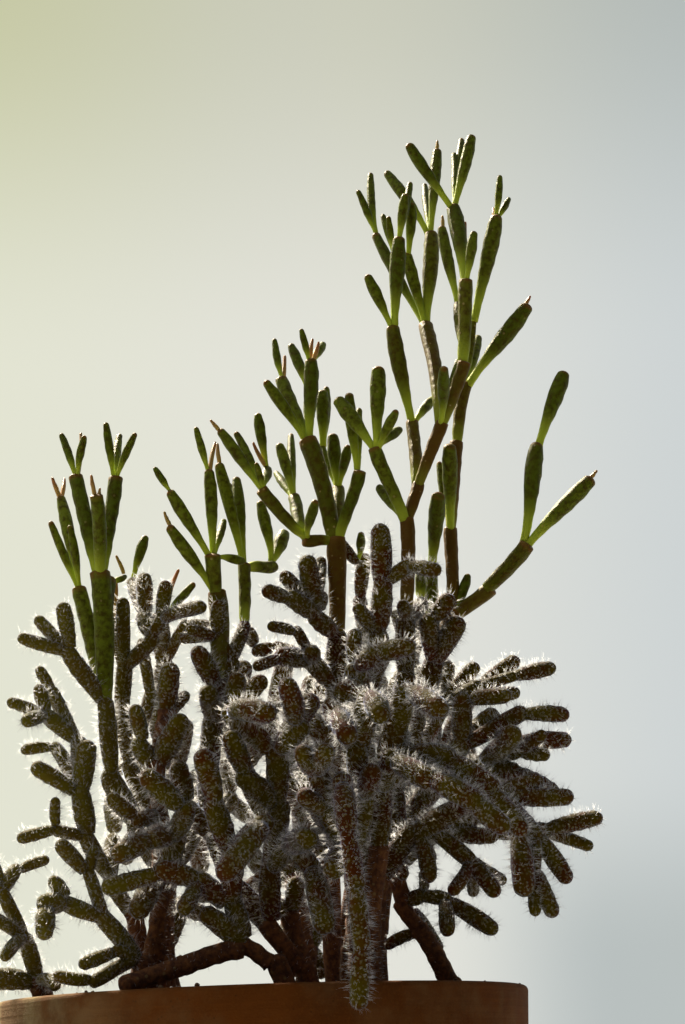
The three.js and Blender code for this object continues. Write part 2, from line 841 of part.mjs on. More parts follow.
// The pot: a tapering body under a thicker collar, with drain holes around the middle of its floor.
const COLLAR_FOOT = POT_HEIGHT - COLLAR_HEIGHT;
const BODY_RADIUS = RIM_RADIUS - COLLAR_DRAFT - COLLAR_STEP;
const MOUTH_RADIUS = RIM_RADIUS - WALL;
const INNER_BASE = BASE_RADIUS - WALL;
function potSolid() {
  const shell = turned([
    [0, 0],
    [BASE_RADIUS - ROUNDING, 0],
    [BASE_RADIUS, ROUNDING],
    [BODY_RADIUS, COLLAR_FOOT],
    [RIM_RADIUS - COLLAR_DRAFT, COLLAR_FOOT + ROUNDING],
    [RIM_RADIUS, POT_HEIGHT - ROUNDING],
    [RIM_RADIUS - ROUNDING, POT_HEIGHT],
    [MOUTH_RADIUS + ROUNDING, POT_HEIGHT],
    [MOUTH_RADIUS, POT_HEIGHT - ROUNDING],
    [INNER_BASE, FLOOR],
    [0, FLOOR],
  ], POT_SIDES);
  const [under, above] = [-ROUNDING, FLOOR + ROUNDING];
  const hole = turned([[0, under], [DRAIN_RADIUS, under], [DRAIN_RADIUS, above], [0, above]], DRAIN_SIDES);
  const holes = [];
  for (let i = 0; i < DRAIN_HOLES; i += 1) {
    const angle = (2 * Math.PI * i) / DRAIN_HOLES + Math.PI / 2;
    holes.push(hole.translate([DRAIN_RING * Math.cos(angle), DRAIN_RING * Math.sin(angle), 0]));
  }
  return shell.subtract(Manifold.union(holes));
}

// The soil fills the pot up to SOIL_BELOW_RIM, a little higher in the middle, with a socket for every foot.
function soilSolid() {
  const slope = (MOUTH_RADIUS - INNER_BASE) / (POT_HEIGHT - ROUNDING - FLOOR);
  const wallAt = (height) => INNER_BASE + slope * (height - FLOOR);
  const low = FLOOR + FLOOR_GAP;
  const edge = SOIL_TOP - EDGE_DROP;
  const fill = turned([
    [0, low],
    [wallAt(low) - WALL_GAP, low],
    [wallAt(edge) - WALL_GAP, edge],
    [wallAt(SOIL_TOP) - EDGE_WIDTH, SOIL_TOP],
    [CROWN_RADIUS, SOIL_TOP + SOIL_CROWN],
    [0, SOIL_TOP + SOIL_CROWN],
  ], POT_SIDES);
  const feet = segments.filter((segment) => !segment.below);
  return fill.subtract(Manifold.union(feet.map((segment) => segmentSolid(segment, ROOT_GAP))));
}

function piece(name, solid, finish) {
  const { vertProperties, triVerts } = solid.getMesh();
  const geometry = new THREE.BufferGeometry();
  geometry.setAttribute("position", new THREE.BufferAttribute(new Float32Array(vertProperties), 3));
  geometry.setIndex(new THREE.BufferAttribute(new Uint32Array(triVerts), 1));
  geometry.computeVertexNormals();
  const mesh = new THREE.Mesh(geometry, new THREE.MeshStandardMaterial(finish));
  mesh.name = name;
  return mesh;
}

const plant = new THREE.Group();
plant.name = "potted_dancing_bones_cactus";
plant.add(piece("pot", potSolid(), FINISHES.clay));
plant.add(piece("potting_soil", soilSolid(), FINISHES.soil));
SHOOTS.forEach((owner) => {
  const hasCanes = segments.some((segment) => segment.owner === owner && segment.tip.kind === "cane");
  plant.add(piece(owner.name, shootSolid(owner), hasCanes ? FINISHES.smooth : FINISHES.woolly));
});

export default plant;
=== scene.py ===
"""Dancing bones cactus growing in a brown clay pot. Metres, +Z up, the front faces -Y.

Sizes in this script are named in millimetres and turned to metres where a mesh is made.
"""
import math
import bpy
import numpy as np
from mathutils import Matrix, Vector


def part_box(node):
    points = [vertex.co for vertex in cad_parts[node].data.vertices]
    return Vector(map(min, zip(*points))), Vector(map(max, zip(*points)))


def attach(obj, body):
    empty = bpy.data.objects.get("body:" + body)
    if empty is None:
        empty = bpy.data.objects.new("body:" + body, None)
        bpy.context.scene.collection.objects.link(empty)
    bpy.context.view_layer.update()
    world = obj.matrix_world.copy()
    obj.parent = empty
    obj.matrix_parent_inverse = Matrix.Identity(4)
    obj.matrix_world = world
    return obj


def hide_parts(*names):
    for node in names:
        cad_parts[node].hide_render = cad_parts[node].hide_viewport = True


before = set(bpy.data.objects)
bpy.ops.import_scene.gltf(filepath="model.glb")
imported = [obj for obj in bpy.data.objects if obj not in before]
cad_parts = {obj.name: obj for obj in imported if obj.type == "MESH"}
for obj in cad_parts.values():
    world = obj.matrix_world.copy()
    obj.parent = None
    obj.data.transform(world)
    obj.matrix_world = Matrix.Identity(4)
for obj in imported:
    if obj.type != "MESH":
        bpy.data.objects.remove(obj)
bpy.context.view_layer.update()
SEED = 11
chance = np.random.default_rng(SEED)
MM = 0.001
TURN = 2 * math.pi
TINY = 1e-9

# The pot, from the frame and from the sizes of its wall.
POT_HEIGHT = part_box("pot")[1].z / MM
RIM_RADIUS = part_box("pot")[1].x / MM
COLLAR_HEIGHT = 26
COLLAR_DRAFT = 1.2
COLLAR_STEP = 4.5
BASE_RADIUS = 50
WALL = 6.2
FLOOR = 7
ROUNDING = 1.4
DRAIN_HOLES = 3
DRAIN_RADIUS = 4.5
DRAIN_RING = 24

# The soil: its level below the rim, its crown, its fall in the last millimetres before the wall,
# and how deep the stems are rooted in it.
SOIL_BELOW_RIM = 8
SOIL_CROWN = 2.5
CROWN_RADIUS = 25
EDGE_WIDTH = 3
EDGE_DROP = 2
SOCKET_DEPTH = 7

# The point that the plant is seen from: across, up from the rim, and how far in front.
VIEW_ACROSS = 27.5
VIEW_UP = -22.5
VIEW_DISTANCE = 570

# Segments: radius of the solid, faces around, rings along, the height of the dome at the tip in
# radii, and the outline as pairs of part of the length and part of the radius.
KINDS = {
    "trunk": dict(radius=2.9, sides=11, rings=11, dome=0.6,
                  outline=[(0, 1), (0.2, 0.92), (0.8, 0.95), (1, 1)]),
    "wool": dict(radius=3.4, sides=13, rings=12, dome=1,
                 outline=[(0, 0.66), (0.2, 0.88), (0.6, 1), (1, 0.9)]),
    "finger": dict(radius=2.5, sides=12, rings=11, dome=1,
                   outline=[(0, 0.64), (0.2, 0.86), (0.7, 1), (1, 0.9)]),
    "wisp": dict(radius=1.8, sides=11, rings=10, dome=1,
                 outline=[(0, 0.75), (0.2, 0.92), (0.7, 1), (1, 0.9)]),
    "stem": dict(radius=2.8, sides=16, rings=18, dome=0.3,
                 outline=[(0, 0.7), (0.14, 0.84), (0.4, 0.92), (0.9, 1.02), (1, 0.98)]),
    "cane": dict(radius=2.1, sides=14, rings=18, dome=0.3,
                 outline=[(0, 0.7), (0.14, 0.84), (0.4, 0.95), (0.9, 1.02), (1, 0.96)]),
    "bone": dict(radius=2.4, sides=14, rings=18, dome=0.6,
                 outline=[(0, 0.5), (0.15, 0.47), (0.35, 0.66), (0.55, 0.94), (0.75, 1.03),
                          (0.9, 0.98), (1, 0.8)]),
    "slim": dict(radius=1.7, sides=12, rings=15, dome=0.8,
                 outline=[(0, 0.48), (0.16, 0.46), (0.35, 0.66), (0.55, 0.95), (0.75, 1.03),
                          (0.9, 0.96), (1, 0.76)]),
    "twig": dict(radius=1.25, sides=10, rings=14, dome=0.9,
                 outline=[(0, 0.46), (0.2, 0.5), (0.5, 1), (0.8, 0.94), (1, 0.7)]),
    "bud": dict(radius=0.6, sides=6, rings=7, dome=1, outline=[(0, 0.8), (0.5, 1), (1, 0.6)]),
}


def grow(kind):
    """What makes a joint of this kind: across and up as seen from the front, how far back, and
    what grows on it."""
    def joint(across, up, back, *grown):
        return dict(kind=kind, seen=(across, up, back), grown=grown)
    return joint


trunk, wool, finger, wisp, stem, cane, bone, slim, twig, bud = [grow(kind) for kind in KINDS]


def shoot(name, x, y, first):
    """A shoot with its foot at x, y in the soil."""
    return dict(name=name, foot=(x, y), first=first)


# What grows from the tip of what, in mm: the same list as the solids are made from.
SHOOTS = [
 shoot("left_tower_shoot", -30, 2,
  trunk(-28.5, 18, 4,
   trunk(-27.5, 38, 4,
    wool(-37, 51, 0,
     wool(-44.5, 66, -4,
      finger(-45, 88, -6,
       stem(-46.4, 126.5, -6,
        cane(-53.9, 157, -3, twig(-58.4, 170.5, 0), twig(-51, 169.5, -12), bud(-52.3, 170.5, 7)),
        cane(-47.5, 150.5, -22, bud(-49, 156.8, -24), bud(-46.3, 152.5, -22)),
        cane(-41.5, 156, -3,
         twig(-44.5, 173.6, -7), twig(-40.2, 169.5, 9), twig(-35.3, 169.8, -10))),
       cane(-43.4, 124, 3, twig(-38.5, 124.5, 8, bud(-41.5, 131, 6))),
       cane(-52.8, 121.5, 0,
        slim(-58.5, 150.5, 9, bud(-61, 156.5, 9), bud(-57.3, 156, 14)), twig(-61.5, 142.5, -7),
        twig(-55.6, 141, -10)),
       finger(-56.8, 103.5, -12,
        finger(-57.9, 117, -14), wisp(-65.6, 112.8, -10), wisp(-71, 107, -16)))))))),
 shoot("left_inner_shoot", -28, 18,
  trunk(-28, 20, 18,
   trunk(-28, 40, 16,
    wool(-33, 56, 12,
     finger(-38.5, 69, 8,
      wisp(-38.5, 79, 14),
      finger(-40.3, 83, 6,
       finger(-39, 98, 6,
        wisp(-43, 112, 8, bud(-41.5, 123, 8)), wisp(-39.5, 117.8, 2),
        finger(-29.5, 106, 4,
         wool(-34, 112.5, 10,
          finger(-33, 124.8, 15), wisp(-36.9, 123.5, 22, slim(-32.4, 136.8, 22))),
         finger(-27.2, 112.5, 2,
          finger(-26.2, 122.6, 1), twig(-17.8, 121.5, -6), wisp(-15, 114.3, -14),
          bud(-22.5, 126, 4))))))),
    wisp(-31, 56, 24,
     wisp(-36, 73, 28,
      wisp(-31, 90, 30, wisp(-34, 105, 32)), wisp(-46, 86, 30), wisp(-41.5, 64, 24)))))),
 shoot("left_low_shoot", -36, -40,
  trunk(-33.8, 12.5, -38,
   wisp(-43, 14.3, -44, wisp(-52.5, 10.3, -48)), wisp(-49.5, 5, -46, wisp(-60, 7.8, -47)),
   finger(-47, 24.8, -42,
    finger(-58, 28.9, -44, finger(-60.8, 35.5, -45), wool(-64.2, 27.5, -50, wool(-62.5, 18, -54))),
    wisp(-50.3, 37.5, -38, finger(-58.8, 45.8, -42), wisp(-47.8, 44, -36))))),
 shoot("left_fan_shoot", -38, -14,
  trunk(-33.8, 13, -18,
   trunk(-37.2, 26, -20,
    finger(-44.6, 35.5, -22,
     finger(-51.2, 48.5, -24,
      wool(-52.5, 62, -24,
       wool(-50, 75, -22), finger(-66.5, 68.3, -30), wisp(-60.5, 74.2, -14, wisp(-69.8, 72.6, -16)),
       finger(-53, 76, -14,
        finger(-64, 84, -18, wisp(-74, 87.5, -22), finger(-65, 92, -16), finger(-68.8, 81, -28)),
        wisp(-61, 91, -8, wisp(-65, 97.5, -8)))),
      wisp(-60.3, 49.5, -30, wisp(-59.4, 58.5, -32), wisp(-70.5, 46.6, -34))),
     finger(-42.5, 47, -12))))),
 shoot("left_edge_shoot", -57, 2,
  trunk(-64.8, 8, -2,
   finger(-68.3, 20, -4,
    wisp(-75, 33, -6,
     finger(-69.5, 39, 0, wisp(-61, 40.6, 0)), finger(-86, 40, -12), wisp(-80, 46, 0)),
    wisp(-79, 25.5, -16), wisp(-74, 13, -18)),
   wool(-80, 7.5, -8), wisp(-58.5, 4.5, -14))),
 shoot("left_front_shoot", -31, -27,
  trunk(-30, 18, -30,
   trunk(-28.5, 36, -30,
    wool(-36.2, 23.5, -42),
    wool(-24, 48, -38,
     wool(-33, 44.5, -48, wool(-42.8, 40.5, -54)), wool(-21, 55, -48, wool(-34, 65, -54))),
    trunk(-29, 53, -30,
     finger(-36.5, 51, -42, finger(-44, 58.5, -46)),
     trunk(-30, 69, -30,
      trunk(-26, 84, -28, wool(-25, 97.5, -30), wisp(-20.5, 88, -22)),
      wool(-36, 75, -38, finger(-36.3, 85, -42)), wool(-21.5, 81.5, -40)))))),
 shoot("rim_arch_shoot", 12, -37,
  trunk(3, 11, -40,
   trunk(-7, 15, -42,
    trunk(-24, 8.5, -48, trunk(-41, 3.8, -52)),
    wool(-9, 28, -40,
     wool(-19, 34.5, -46, wool(-31, 36.5, -50, finger(-46, 31.5, -52)), finger(-23, 24, -54)),
     wool(-8, 44, -46,
      wool(-14, 57, -52, wool(-17, 71, -56)), wool(3, 49.5, -56, wool(-11.5, 33, -66)))),
    wool(-17.5, 24.5, -44)))),
 shoot("front_left_shoot", 15, -26,
  trunk(11.5, 9, -28,
   trunk(1, 21, -30,
    wool(3, 38, -32,
     wool(6, 56, -36,
      wool(-6, 64, -44, wool(-8.5, 76, -50)),
      wool(5, 72, -40,
       wool(-9.5, 83, -46, wool(5, 80.5, -58)), wool(14, 78, -50, wool(8.8, 91, -60)),
       wool(17.5, 86, -48))),
     wool(10, 43, -42, wool(17, 33, -52, wool(18.5, 17, -56)), wool(15, 44, -60)))),
   trunk(8, 24, -20, wool(10.5, 33, -26), wool(2, 26.5, -24)))),
 shoot("left_middle_shoot", 17, -13,
  trunk(12, 8, -14,
   trunk(1, 20, -17,
    wool(-9, 32, -16,
     wool(-19, 28.5, -18),
     wool(-14, 48, -14,
      wool(-15, 64, -12,
       wool(-13, 82, -10,
        wool(-14.5, 88.5, -26), wool(-5.5, 84, -20, wool(-5.2, 93.5, -24)),
        wool(-10.5, 92, -12,
         wool(-18, 102, -18),
         wisp(-5.5, 97.5, -6,
          wisp(-12.5, 106, -8,
           wisp(-20.5, 107.6, -14), finger(-10.7, 116, -10), wisp(-22.5, 104.5, -4))),
         stem(-11.3, 119, -2,
          slim(-25.5, 139.8, -16, bud(-26.8, 144.3, -16)),
          stem(-12.3, 130.5, -9,
           slim(-13, 157.3, -7, twig(-16.8, 171, -7), bud(-10.8, 166, -2)),
           slim(-25.2, 151, -16, twig(-29.7, 158.5, -16)), twig(-8.6, 141, 4),
           slim(-2.5, 127.6, -2))),
         wisp(-2.5, 109, 4,
          cane(-2.8, 127, 5,
           slim(-9.9, 159.2, 4, bud(-10.2, 165.5, 6)), slim(-4.6, 154.3, 15), twig(-7, 152.5, 17),
           cane(6.5, 125.8, 7, slim(2.5, 146.5, 17), bone(9.8, 136.5, 22))))))),
      wool(-23, 56, -22, wool(-24, 68, -28))))))),
 shoot("hanging_shoot", 27, -42,
  trunk(27.5, 22, -44,
   trunk(26.5, 42, -46,
    wool(24, 56, -56,
     wool(24.5, 61, -68,
      wool(25.5, 45, -75, finger(28, 28, -78, finger(28.6, 11, -81, finger(27, -5, -82)))))),
    wool(31.5, 58, -48,
     wool(29, 72, -54,
      wool(23.5, 82, -56, wool(27.5, 72, -68)), wool(34, 87, -56, wool(37, 78, -68))),
     wool(34, 64, -60)),
    wool(18, 54, -54,
     wool(16.5, 66, -60, wool(12.5, 70, -70), wool(20, 70, -72)), wool(12, 57, -62)),
    wool(20.5, 33.5, -52)))),
 shoot("front_right_shoot", 31, -31,
  trunk(31, 20, -34,
   trunk(35, 42, -38,
    wool(36, 60, -42,
     wool(40, 68, -54, wool(52, 59, -64, wool(65, 51.5, -70, wool(72.5, 44, -72)))),
     wool(46, 70, -46, wool(58, 65, -56, wool(70, 55, -60, finger(77, 42.5, -62)))),
     wool(46, 88, -52, wool(55.5, 79.8, -67)))))),
 shoot("woolly_column_shoot", 24, -18,
  trunk(26, 14, -20,
   trunk(29, 34, -20,
    wool(20.5, 46, -26, wool(14, 58, -30), wool(21, 61, -34)),
    wool(31, 54, -20,
     wool(22, 70, -24, wool(15, 80, -26), wool(22, 85, -20)),
     wool(32, 74, -20,
      wool(41, 85, -18),
      wool(34, 89, -20,
       wool(28, 94.5, -30, finger(30, 105.5, -26), wool(38, 99, -38, wool(47.5, 100, -44))),
       wool(37, 106, -18,
        finger(30.5, 113.2, -24),
        wool(38.8, 122, -20,
         wool(38.6, 138, -22), finger(48.5, 125.5, -24, finger(56.5, 122.5, -30)))),
       wool(24, 86, -34))))))),
 shoot("middle_shoot", 21, 23,
  trunk(20, 18, 22,
   trunk(20, 38, 20,
    wool(13, 51, 22, wool(7, 63, 26), wool(15, 66, 24)),
    wool(22, 56, 18,
     wool(15, 71, 26, wool(9, 83, 30), wool(18, 85, 32)), wool(31, 70, 26, wool(35, 84, 28)),
     wool(23, 75, 16,
      wool(24, 91, 12,
       wool(25, 106, 10,
        stem(25.2, 134.5, 8,
         stem(17.3, 166.3, 8,
          slim(4.9, 185.4, -1), cane(9.9, 185.9, 17, twig(8.2, 199.2, 20), bud(11.3, 193.5, 22)),
          bone(19.4, 192.3, 6,
           twig(16.6, 202.2, 3), slim(23.6, 197, 15), bud(20.2, 198.7, 10), bud(22, 197.7, 4)),
          slim(18.5, 182, 26, slim(13.1, 197.1, 31))),
         cane(26.5, 150, 22,
          twig(22, 163.5, 31, bone(22.6, 181.5, 31), twig(23.9, 182.6, 40)), bone(25.4, 167.2, 22),
          slim(30, 163.4, 13)),
         cane(33.4, 155.2, -1, slim(30.9, 180.4, -4), twig(33.9, 175.2, 8), twig(31.6, 167, 17)),
         cane(15.2, 133.5, 4,
          cane(2.7, 150.4, -6,
           slim(-9.6, 170, -8, bud(-12.3, 173.2, -8)),
           slim(5, 157, 8, slim(2.4, 174.8, 8), bud(0.8, 165.5, 3)), twig(1.5, 158.8, -10),
           twig(-1.4, 162.8, 1), twig(-4.6, 168.9, 1)),
          cane(12.8, 147.6, 17, slim(8.7, 164.6, 20), twig(7.4, 155.5, 29), twig(12.5, 167.6, 33)),
          slim(19.4, 146, -10)),
         wisp(31.8, 126, 14, slim(33, 135.5, 8))),
        wool(17, 111, 2,
         wool(16, 129, -2), wool(9.5, 117, -6, finger(2.8, 118.6, -12)), finger(8.3, 123.8, 6),
         wool(21, 117, 6), wisp(20.5, 128, 10))),
       wool(14.5, 98.5, 4,
        wool(6.5, 98, -6, wisp(-0.5, 95, -12)), wisp(11.8, 106.8, 0, wisp(4, 107.5, -6)),
        wool(17, 99.5, -6), wisp(5, 101.5, 8, finger(-1, 100, 10, finger(-2.2, 107.3, 6)))))))))),
 shoot("tall_shoot", 57, -7,
  trunk(53.4, 3.2, -8,
   trunk(44.2, 18, -9,
    wisp(34.6, 12.2, -4), wisp(44.5, 22, 0, wisp(51.2, 10.5, 0)),
    trunk(39.8, 25.5, -10,
     finger(48, 26.8, -13,
      finger(54.8, 24.6, -16, finger(67.5, 15.2, -18), finger(53.5, 15, -24)), wisp(47, 33.5, -8)),
     trunk(38.5, 40, -8,
      finger(41.5, 31, -24),
      wool(40, 58, -4,
       wool(42, 76, -2,
        wool(45, 93, -2,
         wool(45.5, 110, -2,
          finger(50.5, 113.5, 6, cane(50.4, 121.8, 10)),
          cane(46.9, 139.5, -2,
           cane(37.9, 162.5, -10,
            bone(40.2, 188.8, -14), bone(27, 178.7, -5), slim(45.4, 174.2, -19),
            slim(46.4, 168, 0)),
           slim(38.6, 149.8, 10),
           cane(51.2, 150.5, 0,
            cane(49.9, 170.5, 10,
             bone(45.2, 202.4, 5,
              bone(48.6, 232.4, 0, slim(51.3, 247, -5), twig(53, 250.8, 10)), slim(37.8, 219.6, 0),
              slim(46.8, 227, 22, twig(43.7, 240, 26), twig(45.5, 239.4, 17))),
             slim(57, 177.5, 19)),
            cane(59.5, 170, -5,
             cane(67.2, 189.5, -14,
              cane(69, 216.9, -14,
               slim(72.5, 233.2, -19), bud(69.8, 236.5, -5),
               bone(66, 242.5, -5,
                slim(52.8, 264.6, -12), slim(73.5, 266.8, -5), twig(67.4, 260.5, 7),
                twig(70.2, 265.4, 12))),
              slim(66, 209, 2, slim(62.2, 235.3, 7, bud(62.6, 239, 7)))),
             slim(60.6, 187.8, -24), twig(65.3, 190, 7),
             cane(55.5, 202.2, 14,
              slim(41, 233.6, 29, twig(36, 248.8, 29), twig(40.4, 254.6, 36)),
              slim(50.8, 226.7, 12, slim(53.2, 243.8, 7)),
              bone(58.7, 233.5, 19,
               slim(45.4, 254.8, 29), slim(62.2, 262.2, 24, bud(62.3, 265.4, 24)),
               twig(57.5, 250, 36)))))),
          finger(44.4, 113.4, -14)))))))))),
 shoot("right_tall_shoot", 31, 13,
  trunk(31, 9, 14,
   trunk(32, 26, 14,
    trunk(36, 44, 14,
     wool(42, 62, 14,
      wool(48, 80, 13,
       wool(54, 97, 10,
        wool(52.5, 109, 2, wool(59.5, 115, -6)), wool(61.5, 107.5, -4),
        cane(53.5, 122, 16, bone(57, 147, -2)),
        stem(60.5, 110.5, 8,
         stem(71.8, 116.8, 5,
          stem(83.3, 130, -6,
           bone(88.1, 162, -6, bone(98, 184.8, -6)),
           bone(104.2, 150, -11, bud(105.8, 152.4, -11)))),
         slim(64.7, 121.2, 10),
         cane(60, 136, 13,
          bone(61.1, 162.6, -1), twig(57.6, 157, 18),
          cane(63.4, 163.5, 16,
           cane(67.6, 182.5, 16,
            bone(88.2, 207.7, 4, bud(89, 210.4, 4)), slim(71.8, 197.5, 28),
            twig(70.8, 203, 18,
             bone(80, 238.6, 9,
              twig(81.7, 252.2, 9), twig(84.3, 244.2, 13), bud(79, 241, 13)))))))))))))),
 shoot("right_upper_shoot", 32, 34,
  trunk(31, 14, 34,
   trunk(32, 34, 33,
    wool(38, 52, 30,
     wool(46, 68, 26,
      wool(55, 82, 20,
       finger(66, 93.8, 16),
       finger(67.5, 87.5, 8, finger(78.4, 95, 8), wisp(78, 89.8, 2, finger(89.3, 91.8, 0))),
       wool(66, 84, 30, finger(78, 84.5, 34)), wool(57, 95, 26)),
      wool(48, 82, 34, wool(46, 98, 40, wool(50, 111, 42), wisp(42, 111, 34)))))))),
 shoot("right_middle_shoot", 29, -4,
  trunk(30, 12, -2,
   trunk(33, 34, -2,
    wool(43, 50, -6,
     wool(55, 61, -12,
      wool(62, 72, -18,
       wool(71, 79, -12), wool(62, 85, -24, finger(75.5, 83.8, -30)),
       finger(80, 79.2, -22, finger(92.3, 77.2, -24))),
      wool(69, 65, -14,
       wool(77, 71.3, -6, finger(92.3, 70, -4)),
       wisp(78, 67, -18, wisp(85, 72.3, -24), finger(85.8, 65.6, -16)), wool(76, 73.5, -32),
       wool(77, 60.5, -20, finger(87.5, 54, -24)))))))),
 shoot("right_low_shoot", 32, -17,
  trunk(31.5, 14, -17,
   trunk(35, 34, -17,
    wool(46, 46, -20,
     finger(49, 30, -28), wisp(50.3, 36, -14),
     wool(60, 52, -30,
      wool(73, 55, -34,
       wool(83.5, 58.5, -34), finger(92, 53.3, -38),
       finger(81.5, 40.5, -38,
        finger(89, 28.3, -36), wisp(79.2, 31, -44, finger(84.2, 18.8, -46), wisp(78.6, 19.5, -48))),
       wool(75.7, 41.5, -46, wool(75.8, 25, -50)))),
     finger(52.5, 44.5, -22,
      finger(62, 34.5, -22,
       finger(68.2, 25.3, -24), wisp(70.5, 29.3, -14), wisp(61.3, 26, -10),
       wisp(54.6, 26.5, -30))))))),
 shoot("right_side_shoot", 33.5, 4,
  trunk(33, 18, 4,
   trunk(38, 36, 4,
    wool(54, 46, 2,
     finger(69.5, 42.8, 0,
      wisp(62, 43.5, 6),
      finger(84.5, 43.8, -4, finger(100, 47, -8), wisp(96.5, 38.3, -2), wisp(73, 32, 2))),
     wool(68, 51, 4, wool(73, 61, 8), wool(80, 57, 6))),
    wool(50, 53, 10)))),
 shoot("back_left_shoot", -24, 36,
  trunk(-28.5, 16, 40,
   trunk(-27, 36, 44,
    wool(-35, 50, 50,
     wool(-43, 62, 58, wool(-42, 47.5, 70)), wool(-39.5, 38.5, 58),
     wool(-31, 66, 54, wool(-38, 78, 60))),
    wool(-19, 50, 54,
     wool(-25, 67, 62,
      wool(-30, 84, 62,
       wool(-27, 100, 58, wool(-29, 113, 54), wisp(-20, 110, 52, wisp(-12, 108, 48)))),
      wool(-21, 80, 70)),
     wool(-17.5, 65, 60), wool(-7, 57, 66, wool(-9, 74, 74), wool(-2.5, 50, 76)),
     wool(-17, 35.5, 72))),
   wool(-22, 27.5, 52, wool(-15.5, 23, 60)))),
 shoot("back_middle_shoot", 10, 32,
  trunk(13, 14, 36,
   trunk(9, 34, 42,
    wool(2, 50, 48,
     wool(-5, 66, 52,
      wool(-9, 83, 56, wool(3, 92, 54), wool(-3, 97, 60)), wool(-14, 88, 44), wool(2, 75, 44)),
     wool(6, 66, 62,
      wool(4, 83, 66, wool(12, 86, 56), wool(9, 98, 66)), wool(13, 61, 78, wool(12, 45, 86)),
      wool(14.5, 74, 68, wool(17, 91.5, 74)))),
    wool(17, 48, 58, wool(20, 64, 70, wool(27, 75, 80)), wool(25, 43, 76)),
    wool(-1.5, 33.5, 50, wool(-3, 41.5, 58), wool(-9, 24, 58))),
   wool(7, 20, 50), wool(18.5, 24, 48), wool(17.5, 4.5, 44))),
 shoot("back_right_shoot", 21, 50,
  trunk(23.5, 16, 54,
   trunk(28, 34, 54,
    wool(37, 48, 60,
     wool(48, 58, 66,
      wool(52, 77, 72), wool(64, 68, 60), wool(57, 72, 68, wool(64, 86, 72)),
      wool(61, 58, 76, wool(71, 64, 84))),
     wool(40, 63, 74, wool(38, 80, 80, wool(45, 93, 80), wool(36, 92, 86)), wool(48, 55, 88))),
    wool(24, 52, 56,
     wool(21, 70, 54,
      wool(15.5, 60.5, 64), wool(16.5, 77, 60), wool(18, 88, 50, wool(25, 102, 48)),
      wool(24, 84, 66, wool(20, 96, 72)),
      wool(31, 86, 60,
       wool(33, 102, 66, finger(31.5, 116, 70, finger(34, 129, 66))), wool(40, 100, 56))))))),
]


def trace():
    """Walks every shoot from its foot and lists joints as (across, up, back) and segments as rows
    of shoot number, kind number, base joint, tip joint, segment below and generations above."""
    joints, segments = [], []
    kinds = list(KINDS)

    def add(owner, base, tip, below):
        joints.append(tip["seen"])
        row = [owner, kinds.index(tip["kind"]), base, len(joints) - 1, below, 0]
        segments.append(row)
        number, own = len(segments) - 1, len(joints) - 1
        row[5] = max([1 + add(owner, own, grown, number) for grown in tip["grown"]], default=0)
        return row[5]

    for owner, entry in enumerate(SHOOTS):
        x, y = entry["foot"]
        reach = 1 + y / VIEW_DISTANCE
        foot_up = -SOIL_BELOW_RIM - SOCKET_DEPTH
        joints.append((VIEW_ACROSS + (x - VIEW_ACROSS) / reach,
                       VIEW_UP + (foot_up - VIEW_UP) / reach, y))
        add(owner, len(joints) - 1, entry["first"], -1)
    return np.array(joints, float), np.array(segments)


def place(joints):
    """Where joints seen at across and up lie in space: on the line of sight, as far back as they
    say."""
    across, up, back = joints.T
    reach = 1 + back / VIEW_DISTANCE
    x = VIEW_ACROSS + (across - VIEW_ACROSS) * reach
    z = POT_HEIGHT + VIEW_UP + (up - VIEW_UP) * reach
    return np.stack([x, back, z], 1)


# How segments of different shoots make way: the room left between them, the number of rounds,
# the part of the lack made good in each, the least slope that a move reckons with, and the
# spread under which two segments count as parallel.
CLEAR = 0.5
ROUNDS = 240
EASE = 0.45
LEAST_SLOPE = 0.4
PARALLEL = 1e-6


def make_way(joints, segments):
    """Where segments of different shoots come closer than their radii and CLEAR, one end leans
    forward and the other back, a part of the lack in each of ROUNDS rounds, along the line of
    sight only. The nearest points of two segments lie at parts s and t of their lengths, and
    those of parallel ones halfway."""
    owner, kind, base, tip = segments[:, :4].T
    radius = RADII[kind]
    feet = np.setdiff1d(base, tip)
    room = (radius + CLEAR)[:, None]
    low = np.minimum(joints[base, :2], joints[tip, :2]) - room
    high = np.maximum(joints[base, :2], joints[tip, :2]) + room
    one, two = np.triu_indices(len(segments), 1)
    meet = (low[one] <= high[two]).all(1) & (low[two] <= high[one]).all(1)
    meet &= owner[one] != owner[two]
    one, two = one[meet], two[meet]
    for _ in range(ROUNDS):
        points = place(joints)
        start, other_start = points[base[one]], points[base[two]]
        along, other = points[tip[one]] - start, points[tip[two]] - other_start
        between = start - other_start
        aa, bb, ab = (along * along).sum(1), (other * other).sum(1), (along * other).sum(1)
        af, bf = (along * between).sum(1), (other * between).sum(1)
        spread = aa * bb - ab * ab
        apart = spread > PARALLEL * aa * bb
        nearest = np.clip((ab * bf - af * bb) / np.where(apart, spread, 1), 0, 1)
        s = np.where(apart, nearest, 0.5)
        t = np.clip((ab * s + bf) / bb, 0, 1)
        s = np.clip((ab * t - af) / aa, 0, 1)
        gap = between + along * s[:, None] - other * t[:, None]
        length = np.linalg.norm(gap, axis=1)
        lack = radius[one] + radius[two] + CLEAR - length
        slope = np.maximum(np.abs(gap[:, 1]) / np.maximum(length, CLEAR), LEAST_SLOPE)
        forward = np.where(gap[:, 1] < 0, -1, 1)
        step = np.where(lack > 0, forward * EASE * lack / slope, 0)
        move = np.zeros(len(joints))
        np.add.at(move, base[one], step * (1 - s))
        np.add.at(move, tip[one], step * s)
        np.add.at(move, base[two], -step * (1 - t))
        np.add.at(move, tip[two], -step * t)
        move[feet] = 0
        joints[:, 2] += move
    return joints


